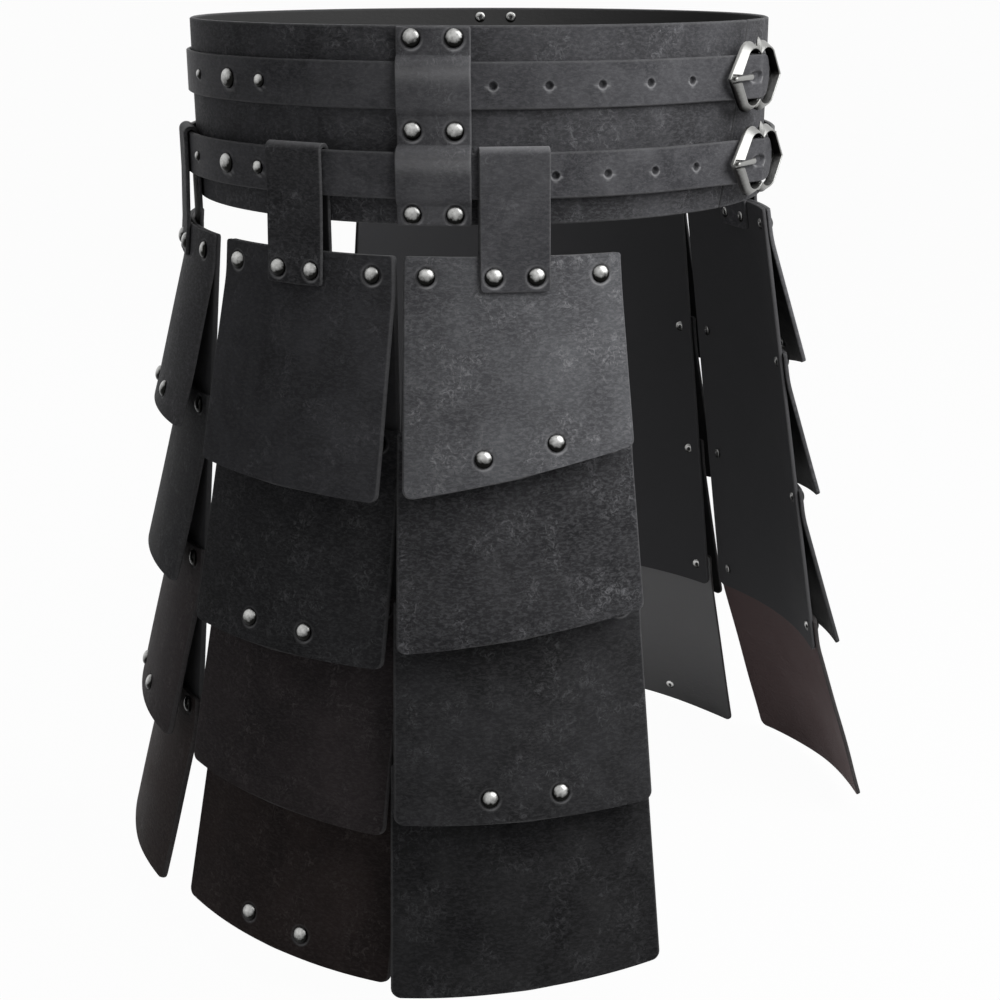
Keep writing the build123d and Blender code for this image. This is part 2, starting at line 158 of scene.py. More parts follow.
def rounded_line(corners: np.ndarray, radii: list[float], step: float) -> np.ndarray:
    """A plane polyline whose inner corners are replaced by tangent arcs.

    Each corner of turn a and radius r is cut at r tan(a/2) along both sides and filled
    with the arc of that radius; straight runs are divided evenly.

    Args:
        corners: Corner points, shape (n, 2).
        radii: One radius for each of the n - 2 inner corners.
        step: Wanted distance between points.

    Returns:
        Points along the line, shape (m, 2).
    """
    runs = unit(np.diff(corners, axis=0))
    pieces = [corners[:1]]
    for corner, radius, before, after in zip(corners[1:-1], radii, runs[:-1], runs[1:]):
        cross = before[0] * after[1] - before[1] * after[0]
        turn = math.atan2(cross, float(before @ after))
        cut = radius * math.tan(abs(turn) / 2)
        normal = np.array([-before[1], before[0]]) * math.copysign(1.0, turn)
        centre = corner - before * cut + normal * radius
        count = max(2, int(math.ceil(abs(turn) * radius / step)) + 2)
        sweep = np.linspace(0.0, abs(turn), count)[:, None]
        pieces.append(centre + radius * (before * np.sin(sweep) - normal * np.cos(sweep)))
    return resample(np.concatenate([*pieces, corners[-1:]]), step)


def resample(line: np.ndarray, step: float) -> np.ndarray:
    """The same line at even distances, by linear interpolation over its arc length."""
    length = arc_length(line)[-1]
    return points_at(line, np.linspace(0.0, length, max(2, int(round(length / step)) + 1)))


def points_at(line: np.ndarray, wanted: np.ndarray) -> np.ndarray:
    """Points at given running lengths of a line, by linear interpolation."""
    length = arc_length(line)
    return np.stack([np.interp(wanted, length, column) for column in line.T], axis=-1)


def arc_length(line: np.ndarray) -> np.ndarray:
    """Running length at each point of a line."""
    return np.concatenate([[0.0], np.cumsum(np.linalg.norm(np.diff(line, axis=0), axis=1))])


def tangents(line: np.ndarray) -> np.ndarray:
    """Unit directions along a line, from the points on either side of each."""
    return unit(np.gradient(line, axis=0))


def raised(line: np.ndarray, height: float) -> np.ndarray:
    """A plane line moved to its left by a height."""
    direction = tangents(line)
    return line + np.stack([-direction[:, 1], direction[:, 0]], axis=-1) * height


def corner_cut(distance: np.ndarray, corner: float) -> np.ndarray:
    """How far a round corner takes in an edge: c - sqrt(c^2 - (c - e)^2) within c."""
    left = np.clip(corner - distance, 0, corner)
    return corner - np.sqrt(corner**2 - left**2)


def waves(first: np.ndarray, second: np.ndarray, seed: int, size: float) -> np.ndarray:
    """Slow uneven waves: the mean of five sines in random directions and phases.

    Args:
        first: One surface coordinate in millimetres.
        second: The other surface coordinate in millimetres.
        seed: Seed that fixes the directions and phases.
        size: Typical wave length in millimetres.

    Returns:
        Values between -1 and 1, of the coordinates' shape.
    """
    dice = np.random.default_rng(seed)
    total = np.zeros(np.broadcast(first, second).shape)
    for heading, phase, stretch in zip(
        dice.uniform(0, math.pi, 5), dice.uniform(0, 2 * math.pi, 5), dice.uniform(0.6, 1.5, 5)
    ):
        along = first * math.cos(heading) + second * math.sin(heading)
        total = total + np.sin(2 * math.pi * along / (size * stretch) + phase)
    return total / 5


# Meshes


@dataclass
class Shape:
    """A mesh in the making: points in millimetres, four-sided faces and end caps."""

    points: np.ndarray
    quads: np.ndarray
    caps: list[np.ndarray] = field(default_factory=list)
    marks: dict[str, np.ndarray] = field(default_factory=dict)

    def joined(self, other: "Shape") -> "Shape":
        """This shape and another as one, with marks that one lacks set to zero."""
        shift = len(self.points)
        marks = {
            name: np.concatenate([shape.marks.get(name, np.zeros(len(shape.points)))
                                  for shape in (self, other)])
            for name in sorted({*self.marks, *other.marks})
        }
        return Shape(
            np.concatenate([self.points, other.points]),
            np.concatenate([self.quads, other.quads + shift]),
            self.caps + [cap + shift for cap in other.caps],
            marks,
        )

    def turned_out(self) -> "Shape":
        """The same shape with its faces the right way round.

        The signed volume, a sixth of the sum of a . (b x c) over the faces'
        triangles, is negative when the faces look inwards.
        """
        a, b, c, d = (self.points[self.quads[:, corner]] for corner in range(4))
        volume = np.einsum("ij,ij->i", a, np.cross(b, c) + np.cross(c, d)).sum()
        if volume < 0:
            self.quads = self.quads[:, ::-1]
            self.caps = [cap[:, ::-1] for cap in self.caps]
        return self

    def to_object(self, name: str, material: bpy.types.Material) -> bpy.types.Object:
        """Writes the shape into a smooth-shaded Blender mesh at the origin.

        Args:
            name: Name of the object.
            material: Its one material.

        Returns:
            The new object, linked to the scene.
        """
        mesh = bpy.data.meshes.new(name)
        mesh.vertices.add(len(self.points))
        mesh.vertices.foreach_set("co", (self.points * MM).astype(np.float32).ravel())
        loops = np.concatenate([self.quads.ravel()] + [cap.ravel() for cap in self.caps])
        sizes = np.concatenate(
            [np.full(len(self.quads), 4)] + [np.full(len(c), c.shape[1]) for c in self.caps]
        )
        mesh.loops.add(len(loops))
        mesh.loops.foreach_set("vertex_index", loops.astype(np.int32))
        mesh.polygons.add(len(sizes))
        starts = np.concatenate([[0], np.cumsum(sizes)[:-1]])
        mesh.polygons.foreach_set("loop_start", starts.astype(np.int32))
        mesh.update(calc_edges=True)
        mesh.shade_smooth()
        for key, values in self.marks.items():
            layer = mesh.attributes.new(key, "FLOAT", "POINT")
            layer.data.foreach_set("value", values.astype(np.float32))
        mesh.materials.append(material)
        piece = bpy.data.objects.new(name, mesh)
        bpy.context.scene.collection.objects.link(piece)
        return piece


def grid_quads(rows: int, columns: int, wrap_rows: bool = False, wrap: bool = False) -> np.ndarray:
    """Faces of a grid whose point (i, j) has index i * columns + j.

    Args:
        rows: Number of rows.
        columns: Number of columns.
        wrap_rows: Whether the last row joins the first.
        wrap: Whether the last column joins the first.

    Returns:
        Index quads, shape (faces, 4).
    """
    i, j = np.meshgrid(
        np.arange(rows if wrap_rows else rows - 1),
        np.arange(columns if wrap else columns - 1),
        indexing="ij",
    )
    below, right = (i + 1) % rows, (j + 1) % columns
    corners = [i * columns + j, i * columns + right, below * columns + right, below * columns + j]
    return np.stack([corner.ravel() for corner in corners], axis=-1)


def leather_sheet(outer: np.ndarray, inner: np.ndarray, bulge: float,
                  pressed: np.ndarray | None = None) -> Shape:
    """A closed sheet between two grids, with a rounded rim.

    The rim is three loops between the two borders: at the share s of the way from the
    outer border to the inner, each point moves off the sheet by bulge * sin(pi s).

    Args:
        outer: Outer surface, shape (rows, columns, 3).
        inner: Inner surface, of the same shape.
        bulge: How far the rim stands out, in millimetres.
        pressed: Mark of the rings round the rivets and of the painted highlights on the outer
            grid, or None.

    Returns:
        The sheet with the marks "edge", its distance from the rim in millimetres,
        "flesh", 0 on the outer side and 1 on the inner, and "pressed", the rivet
        rings and painted highlights of the outer side.
    """
    rows, columns = outer.shape[:2]
    index = np.arange(rows * columns).reshape(rows, columns)
    border = np.concatenate(
        [index[0, :-1], index[:-1, -1], index[-1, :0:-1], index[:0:-1, 0]]
    )
    row, column = border // columns, border % columns
    inward = np.clip(row, 1, rows - 2) * columns + np.clip(column, 1, columns - 2)
    flat_outer, flat_inner = outer.reshape(-1, 3), inner.reshape(-1, 3)
    middle = (flat_outer + flat_inner) / 2
    away = unit(middle[border] - middle[inward])
    shares = np.array([0.2, 0.5, 0.8])[:, None, None]
    loops = flat_outer[border] * (1 - shares) + flat_inner[border] * shares
    loops = loops + bulge * np.sin(math.pi * shares) * away
    count = rows * columns
    around = len(border)
    rings = np.concatenate(
        [border[None], 2 * count + np.arange(3 * around).reshape(3, around), border[None] + count]
    )
    following = np.roll(rings, -1, axis=1)
    rim = np.stack([rings[:-1], rings[1:], following[1:], following[:-1]], axis=-1).reshape(-1, 4)
    face = grid_quads(rows, columns)
    quads = np.concatenate([face, face[:, ::-1] + count, rim])

    across = np.linalg.norm(np.diff(middle.reshape(outer.shape), axis=1), axis=2)
    along = np.linalg.norm(np.diff(middle.reshape(outer.shape), axis=0), axis=2)
    left = np.pad(np.cumsum(across, axis=1), ((0, 0), (1, 0)))
    top = np.pad(np.cumsum(along, axis=0), ((1, 0), (0, 0)))
    edge = np.minimum.reduce([left, left[:, -1:] - left, top, top[-1:] - top]).ravel()
    # The outer grid carries the rivet rings and the painted highlights; the inner grid and the rim
    # get none
    ring_and_painted_highlight = np.zeros(count) if pressed is None else pressed.ravel()
    rim_blank = np.zeros(3 * around)
    marks = {
        "edge": np.concatenate([edge, edge, rim_blank]),
        "flesh": np.concatenate([np.zeros(count), np.ones(count), rim_blank + 0.5]),
        "pressed": np.concatenate([ring_and_painted_highlight, np.zeros(count), rim_blank]),
    }
    points = np.concatenate([flat_outer, flat_inner, loops.reshape(-1, 3)])
    return Shape(points, quads, [], marks).turned_out()


def tube(path: np.ndarray, wide: np.ndarray, half_wide: np.ndarray, half_thick: np.ndarray,
         sides: int = 14, closed: bool = False) -> Shape:
    """A bar carried along a path, with an elliptical section.

    At each path point the section is path + wide * w cos(a) + thick * t sin(a), where
    thick is the cross product of the path's direction and the wide direction.

    Args:
        path: Centre line, shape (n, 3).
        wide: One direction for the section's width.
        half_wide: Half widths along the path.
        half_thick: Half thicknesses along the path.
        sides: Points round the section.
        closed: Whether the path is a ring.

    Returns:
        The bar, with flat caps where it isn't a ring.
    """
    if closed:
        direction = unit(np.roll(path, -1, axis=0) - np.roll(path, 1, axis=0))
    else:
        direction = tangents(path)
    thick = unit(np.cross(direction, wide))
    angle = np.linspace(0, 2 * math.pi, sides, endpoint=False)
    section = (
        (half_wide[:, None] * np.cos(angle))[..., None] * wide
        + (half_thick[:, None] * np.sin(angle))[..., None] * thick[:, None, :]
    )
    points = (path[:, None, :] + section).reshape(-1, 3)
    count = len(path)
    caps = []
    if not closed:
        caps = [np.arange(sides)[None, ::-1], np.arange(sides)[None] + (count - 1) * sides]
    return Shape(points, grid_quads(count, sides, wrap_rows=closed, wrap=True), caps).turned_out()


def turned_parts(origins: np.ndarray, normals: np.ndarray, scales: np.ndarray,
                 profile: np.ndarray, sides: int) -> Shape:
    """The same turned part at many places.

    A profile point (r, h) at the angle a becomes
    origin + scale * (r cos(a) * e1 + r sin(a) * e2 + h * normal).

    Args:
        origins: Places, shape (n, 3).
        normals: Unit axes, shape (n, 3).
        scales: Size factors, shape (n,).
        profile: Radius and height from the first cap to the last, shape (m, 2).
        sides: Points round each part.

    Returns:
        All the parts, each closed by a cap at both ends of its profile, with the mark
        "crest", 0.6 of the share of full height and 0.4 of the share of full radius,
        counted upwards: painted light, lighter on the top and upper side of each part and
        darker on its foot and lower side.
    """
    first = unit(np.cross(normals, UP))
    second = np.cross(normals, first)
    angle = np.linspace(0, 2 * math.pi, sides, endpoint=False)
    ring = np.cos(angle)[:, None] * first[:, None, :] + np.sin(angle)[:, None] * second[:, None, :]
    sized = profile[None] * scales[:, None, None]
    points = (
        origins[:, None, None, :]
        + sized[:, :, None, 0:1] * ring[:, None, :, :]
        + sized[:, :, None, 1:2] * normals[:, None, None, :]
    )
    count, rows = points.shape[:2]
    one = grid_quads(rows, sides, wrap=True)
    shifts = np.arange(count) * rows * sides
    quads = (one[None] + shifts[:, None, None]).reshape(-1, 4)
    caps = [
        np.arange(sides)[None, ::-1] + shifts[:, None],
        np.arange(sides)[None] + (rows - 1) * sides + shifts[:, None],
    ]
    # Painted light: the top and upper side of each part lighter, its foot and lower side darker
    share = profile / profile.max(axis=0)
    crest = 0.6 * share[None, :, 1:2] + 0.4 * share[None, :, 0:1] * ring[:, None, :, 2]
    marks = {"crest": np.broadcast_to(crest, (count, rows, sides)).ravel()}
    return Shape(points.reshape(-1, 3), quads, caps, marks).turned_out()


# Finishes


def linear(hex_colour: str) -> tuple[float, float, float, float]:
    """An sRGB hex colour as linear light: (c / 12.92) or ((c + 0.055) / 1.055)^2.4."""
    channels = np.array([int(hex_colour[i:i + 2], 16) for i in (1, 3, 5)]) / 255
    light = np.where(channels <= 0.04045, channels / 12.92, ((channels + 0.055) / 1.055) ** 2.4)
    return (*light.tolist(), 1.0)


def add_node(tree: bpy.types.NodeTree, kind: str, inputs: dict | None = None,
             **settings: object) -> bpy.types.Node:
    """Adds a node with its settings, values and links.

    Args:
        tree: The material's or world's node tree.
        kind: Blender's name of the node type.
        inputs: Socket name or number to a value, or to an output socket to link from.
        settings: Properties of the node.

    Returns:
        The new node.
    """
    node = tree.nodes.new(kind)
    for key, value in settings.items():
        setattr(node, key, value)
    for key, value in (inputs or {}).items():
        if isinstance(value, bpy.types.NodeSocket):
            tree.links.new(value, node.inputs[key])
        else:
            node.inputs[key].default_value = value
    return node


def empty_material(name: str) -> bpy.types.Material:
    """A material with an empty node tree."""
    material = bpy.data.materials.new(name)
    material.use_nodes = True
    material.node_tree.nodes.clear()
    return material


def speckle(tree: bpy.types.NodeTree, place: bpy.types.NodeSocket, size_mm: float,
            levels: tuple[float, float, float], **noise: float,
            ) -> tuple[bpy.types.NodeSocket, bpy.types.NodeSocket]:
    """Noise of a real size, and how far it stands above a level.

    Args:
        tree: The material's node tree.
        place: The coordinates that the noise reads.
        size_mm: Size of its marks in millimetres.
        levels: The noise's values that become 0 and the top, and the top.
        noise: Its detail, roughness and distortion.

    Returns:
        The noise's value, and the value spread from 0 to the top.
    """
    inputs = {key.capitalize(): value for key, value in noise.items()}
    marks = add_node(tree, "ShaderNodeTexNoise",
                     {"Vector": place, "Scale": 1 / (size_mm * MM), **inputs}).outputs["Fac"]
    low, high, top = levels
    above = add_node(tree, "ShaderNodeMapRange",
                     {"Value": marks, "From Min": low, "From Max": high, "To Max": top})
    return marks, above.outputs["Result"]


def layered(tree: bpy.types.NodeTree, ground: str,
            layers: list[tuple[bpy.types.NodeSocket, str]]) -> bpy.types.NodeSocket:
    """Colours laid over each other: each covers what is below it by its own share.

    Args:
        tree: The material's node tree.
        ground: The lowest colour.
        layers: Share and colour of each layer, from the lowest to the top.

    Returns:
        The colour that shows.
    """
    # The colour Mix node's sockets share names across types, so they go by number
    below, above, result = 6, 7, 2
    colour = linear(ground)
    for share, hex_colour in layers:
        colour = add_node(tree, "ShaderNodeMix",
                          {0: share, below: colour, above: linear(hex_colour)},
                          data_type="RGBA").outputs[result]
    return colour


@dataclass(frozen=True)
class DyedLeather:
    """Vegetable-tanned shoulder leather, drum-dyed black, waxed and burnished.

    The wax gives a broad dull sheen, the dye takes unevenly, handling leaves pale
    scuffs on the grain, and the cut edges turn greyer. A pale colour paints a
    highlight in the rings pressed round the rivet caps, strongest on their lower lips,
    and on the keepers' bulges, the straps' folds and the rims of the belts' holes.
    """

    name: str
    deep: str = "#39393b"
    worn: str = "#545457"
    scuff: str = "#77777a"
    edge: str = "#6a6a6b"
    # Colour of the painted highlights round rivets, on bulges and folds, and at hole rims
    painted_highlight: str = "#b9b9bb"
    flesh: str = "#333334"
    roughness: float = 0.56
    sheen: float = 0.02
    grain_mm: float = 1.7
    grain_depth_mm: float = 0.24
    cloud_mm: float = 42.0
    patch_mm: float = 24.0
    scuff_mm: float = 4.5
    fleck_mm: float = 1.5
    streak: float = 0.45
    edge_mm: float = 0.9
    scuff_share: float = 0.95
    fleck_share: float = 0.32

    def make(self) -> bpy.types.Material:
        """Builds the node tree.

        Returns:
            The finished material.
        """
        material = empty_material(self.name)
        tree = material.node_tree
        place = add_node(tree, "ShaderNodeTexCoord").outputs["Object"]
        # The fibres lie along the waist, so fine marks are longer that way than upright
        along = add_node(tree, "ShaderNodeMapping",
                         {"Vector": place, "Scale": (self.streak, self.streak, 1.0)})
        along = along.outputs["Vector"]

        # Uneven dye: slow clouds between the deep and the worn black
        clouds, dye = speckle(tree, place, self.cloud_mm, (0.34, 0.68, 1.0), detail=7.0,
                              roughness=0.62, distortion=0.4)

        # Scuffs: crackled marks that gather in a few patches
        ragged, wear_and_painted_light = speckle(tree, place, self.scuff_mm, (0.51, 0.63, self.scuff_share),
                                 detail=9.0, roughness=0.78, distortion=1.3)
        _, gathered = speckle(tree, place, self.patch_mm, (0.48, 0.60, 1.0), detail=4.0,
                              distortion=0.5)
        scuffs = add_node(tree, "ShaderNodeMath", {0: wear_and_painted_light, 1: gathered},
                          operation="MULTIPLY")

        # Flecks: fine fibres that the dye took less, drawn coarse enough to show
        _, flecks = speckle(tree, along, self.fleck_mm, (0.44, 0.62, self.fleck_share),
                            detail=4.0, roughness=0.7, distortion=0.6)

        # The flesh side is closer and more even
        flesh = add_node(tree, "ShaderNodeAttribute", attribute_name="flesh")
        inside = add_node(tree, "ShaderNodeMapRange",
                          {"Value": flesh.outputs["Fac"], "From Min": 0.6, "From Max": 0.9})

        # Burnished cut edges, and a painted highlight in the rings round the rivet caps,
        # on the keepers' bulges, the straps' folds and the rims of the belts' holes
        edge = add_node(tree, "ShaderNodeAttribute", attribute_name="edge")
        rim = add_node(tree, "ShaderNodeMapRange",
                       {"Value": edge.outputs["Fac"], "From Min": 0.0, "From Max": self.edge_mm,
                        "To Min": 0.75, "To Max": 0.0})
        burnish = add_node(tree, "ShaderNodeMath", {0: rim.outputs["Result"], 1: ragged},
                           operation="MULTIPLY")
        pressed = add_node(tree, "ShaderNodeAttribute", attribute_name="pressed")
        ring = add_node(tree, "ShaderNodeMath", {0: pressed.outputs["Fac"], 1: 0.75},
                        operation="MULTIPLY", use_clamp=True)
        colour = layered(tree, self.deep, [
            (dye, self.worn), (scuffs.outputs[0], self.scuff), (flecks, self.scuff),
            (inside.outputs["Result"], self.flesh), (burnish.outputs[0], self.edge),
            (ring.outputs[0], self.painted_highlight)])

        # Grain: shallow rounded pebbles with fine pores between them
        pebbles = add_node(tree, "ShaderNodeTexVoronoi",
                           {"Vector": along, "Scale": 1 / (self.grain_mm * MM),
                            "Randomness": 1.0}, feature="SMOOTH_F1")
        pores = add_node(tree, "ShaderNodeTexNoise",
                         {"Vector": along, "Scale": 3 / (self.grain_mm * MM), "Detail": 4.0})
        relief = add_node(tree, "ShaderNodeMath",
                          {0: pores.outputs["Fac"], 1: 0.6, 2: pebbles.outputs["Distance"]},
                          operation="MULTIPLY_ADD")
        coarse = add_node(tree, "ShaderNodeBump",
                          {"Height": ragged, "Strength": 0.35, "Distance": 0.5 * MM})
        grain = add_node(tree, "ShaderNodeBump",
                         {"Height": relief.outputs[0], "Strength": 0.7,
                          "Distance": self.grain_depth_mm * MM,
                          "Normal": coarse.outputs["Normal"]})
        shine = add_node(tree, "ShaderNodeMapRange",
                         {"Value": clouds, "From Min": 0.3, "From Max": 0.7,
                          "To Min": self.roughness - 0.06, "To Max": self.roughness + 0.08})
        leather = add_node(tree, "ShaderNodeBsdfPrincipled",
                           {"Base Color": colour,
                            "Roughness": shine.outputs["Result"], "IOR": 1.5,
                            "Specular IOR Level": self.sheen,
                            "Normal": grain.outputs["Normal"]})
        add_node(tree, "ShaderNodeOutputMaterial", {"Surface": leather.outputs["BSDF"]})
        return material


@dataclass(frozen=True)
class NickelPlate:
    """Nickel plate over brass or zinc: stamped and tumbled, or cast and antiqued.

    Tumbling leaves a bright, faintly pitted skin; antiquing leaves dark patina where
    the piece lies low and polished metal on its crests. The crest mark also paints
    light and shade: faces that look up are lighter and those that look down darker.
    """

    name: str
    bright: str = "#9c9c9a"
    patina_and_painted_shade: str = "#1e1e1d"
    roughness: float = 0.36
    pit_mm: float = 1.6
    low: float = 0.1
    high: float = 0.62
    mottle: float = 0.3

    def make(self) -> bpy.types.Material:
        """Builds the node tree.

        Returns:
            The finished material.
        """
        material = empty_material(self.name)
        tree = material.node_tree
        place = add_node(tree, "ShaderNodeTexCoord").outputs["Object"]
        pits = add_node(tree, "ShaderNodeTexNoise",
                        {"Vector": place, "Scale": 1 / (self.pit_mm * MM), "Detail": 5.0,
                         "Roughness": 0.6})
        # The crest mark is polish on the buckle's crests and painted light on the caps and on
        # faces that look up
        crest = add_node(tree, "ShaderNodeAttribute", attribute_name="crest")
        mottle_and_painted_light = add_node(tree, "ShaderNodeMath",
                           {0: pits.outputs["Fac"], 1: self.mottle,
                            2: crest.outputs["Fac"]},
                           operation="MULTIPLY_ADD")
        polish_and_painted_light = add_node(tree, "ShaderNodeMapRange",
                          {"Value": mottle_and_painted_light.outputs[0],
                           "From Min": self.low + self.mottle / 2,
                           "From Max": self.high + self.mottle / 2})
        colour = layered(tree, self.patina_and_painted_shade, [(polish_and_painted_light.outputs["Result"], self.bright)])
        dull = add_node(tree, "ShaderNodeMapRange",
                        {"Value": pits.outputs["Fac"], "From Min": 0.3, "From Max": 0.7,
                         "To Min": self.roughness - 0.05, "To Max": self.roughness + 0.1})
        bump = add_node(tree, "ShaderNodeBump",
                        {"Height": pits.outputs["Fac"], "Strength": 0.3, "Distance": 0.1 * MM})
        metal = add_node(tree, "ShaderNodeBsdfPrincipled",
                         {"Base Color": colour, "Metallic": 1.0,
                          "Roughness": dull.outputs["Result"],
                          "Normal": bump.outputs["Normal"]})
        add_node(tree, "ShaderNodeOutputMaterial", {"Surface": metal.outputs["BSDF"]})
        return material


class Finish(Enum):
    """Every finish on the fauld."""

    BAND = DyedLeather("band_leather_black_waxed", flesh="#4c4c4c")
    BLACK = DyedLeather("strap_leather_black_waxed", deep="#434346", worn="#616164")
    # Darker copies of these leathers paint the shade on the side and back tassets
    BLACK_PAINTED_SHADE = DyedLeather("strap_leather_black_waxed_painted_shade", deep="#333335", worn="#49494b")
    FIRST_PAINTED_SHADE = DyedLeather("lame_leather_black_first_row_painted_shade", deep="#38383a",
                             worn="#4c4c4f", scuff="#626265")
    FIRST = DyedLeather("lame_leather_black_first_row", deep="#515154", worn="#696a6d",
                        scuff="#98989b")
    SECOND = DyedLeather("lame_leather_black_second_row", deep="#2f2f31", worn="#434345")
    SECOND_PAINTED_SHADE = DyedLeather("lame_leather_black_second_row_painted_shade", deep="#282829",
                              worn="#38383a", scuff="#5e5e60", painted_highlight="#9a9a9c")
    THIRD = DyedLeather("lame_leather_black_third_row", deep="#2b2b2c", worn="#3e3e40",
                        scuff="#5c5c5e", painted_highlight="#8a8a8c")
    FOURTH = DyedLeather("lame_leather_black_fourth_row", deep="#202021", worn="#333334",
                         scuff="#4e4e50", painted_highlight="#8a8a8c")
    THIRD_WARM = DyedLeather("lame_leather_brown_black_third_row", deep="#2e2b2c",
                             worn="#3f3a3b", scuff="#585354", painted_highlight="#8a8a8c")
    FOURTH_WARM = DyedLeather("lame_leather_brown_black_fourth_row", deep="#292424",
                              worn="#393231", scuff="#504a49", painted_highlight="#8a8a8c", flesh="#6a5b5b")
    FOURTH_GREY = DyedLeather("lame_leather_brown_black_grey_flesh", deep="#292424",
                              worn="#393231", scuff="#504a49", painted_highlight="#8a8a8c", flesh="#949495")
    BELTING = DyedLeather("belt_leather_black_polished", deep="#424245", worn="#5f5f62",
                          roughness=0.42, cloud_mm=30.0, scuff_share=0.4)
    LINING = DyedLeather("lining_leather_black_smooth", deep="#49494b", worn="#535355",
                         flesh="#565658", grain_depth_mm=0.06, scuff_share=0.12,
                         fleck_share=0.06)
    # The caps' bright and dark colours paint their light and shade: a lit crown and upper side, a
    # shaded foot and lower side
    RIVET = NickelPlate("rivet_nickel_tumbled", bright="#ececea", patina_and_painted_shade="#161615",
                        roughness=0.3, pit_mm=2.6, low=0.32, high=1.02, mottle=0.55)
    BUCKLE = NickelPlate("buckle_nickel_antiqued", bright="#989896", patina_and_painted_shade="#201f1f",
                         roughness=0.36)


class Palette:
    """The finishes' materials, each made once."""

    def __init__(self) -> None:
        """Makes every material."""
        self.materials = {finish: finish.value.make() for finish in Finish}

    def __getitem__(self, finish: Finish) -> bpy.types.Material:
        """The material of a finish."""
        return self.materials[finish]


def settle(piece: bpy.types.Object, body: str | None, nodes: list[str]) -> None:
    """Hands a finished piece to the frame and reports it.

    Args:
        piece: The finished object.
        body: The body that it rides on, or None where it bends between two.
        nodes: The CAD nodes that it stands for.
    """
    if body:
        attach(piece, body)
    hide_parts(*nodes)
    log.info("%s: %d faces", piece.name, len(piece.data.polygons))


# Shared sizes


@dataclass(frozen=True)
class Plan:
    """The sizes that the sub-assemblies share, as in the part's source."""

    ring_radius: float = 190.0
    band_leather: float = 3.0
    band_height: float = 110.0
    belt_width: float = 25.0
    belt_leather: float = 3.0
    upper_belt_z: float = 23.0
    lower_belt_z: float = -27.0
    bar_radius: float = 1.8
    frame_lift: float = 0.9
    strap_width: float = 40.0
    strap_leather: float = 2.5
    strap_drop: float = 34.0
    seat_gap: float = 0.3
    cap_radius: float = 5.4
    cap_sink: float = 0.7
    rim: tuple[float, ...] = (0.0, 0.4, 1.0)
    rim_bulge: float = 0.8
    dent: float = 0.9
    side_turn: float = 90.6
    front_pitch: float = 129.7
    back_pitch: float = 142.3

    @property
    def band_inside(self) -> float:
        """Inner radius of the band."""
        return self.ring_radius - self.band_leather

    @property
    def inner_leg_back(self) -> float:
        """Distance of the hanger strap's inner leg, on its outer side."""
        return self.ring_radius + self.seat_gap + self.strap_leather

    @property
    def upper_inner(self) -> float:
        """Inner radius of the upper belt."""
        return self.ring_radius + self.seat_gap

    @property
    def lower_inner(self) -> float:
        """Inner radius of the lower belt, which goes over the straps' inner legs."""
        return math.hypot(self.inner_leg_back, self.strap_width / 2) + self.seat_gap

    @property
    def outer_leg_face(self) -> float:
        """Distance of the hanger strap's outer leg, on its inner side."""
        return self.lower_inner + self.belt_leather + self.seat_gap

    @property
    def tasset_top(self) -> float:
        """Height of the tassets' top edge."""
        return self.lower_belt_z - self.belt_width / 2 - self.strap_drop


PLAN = Plan()
ROOT = "girdle"


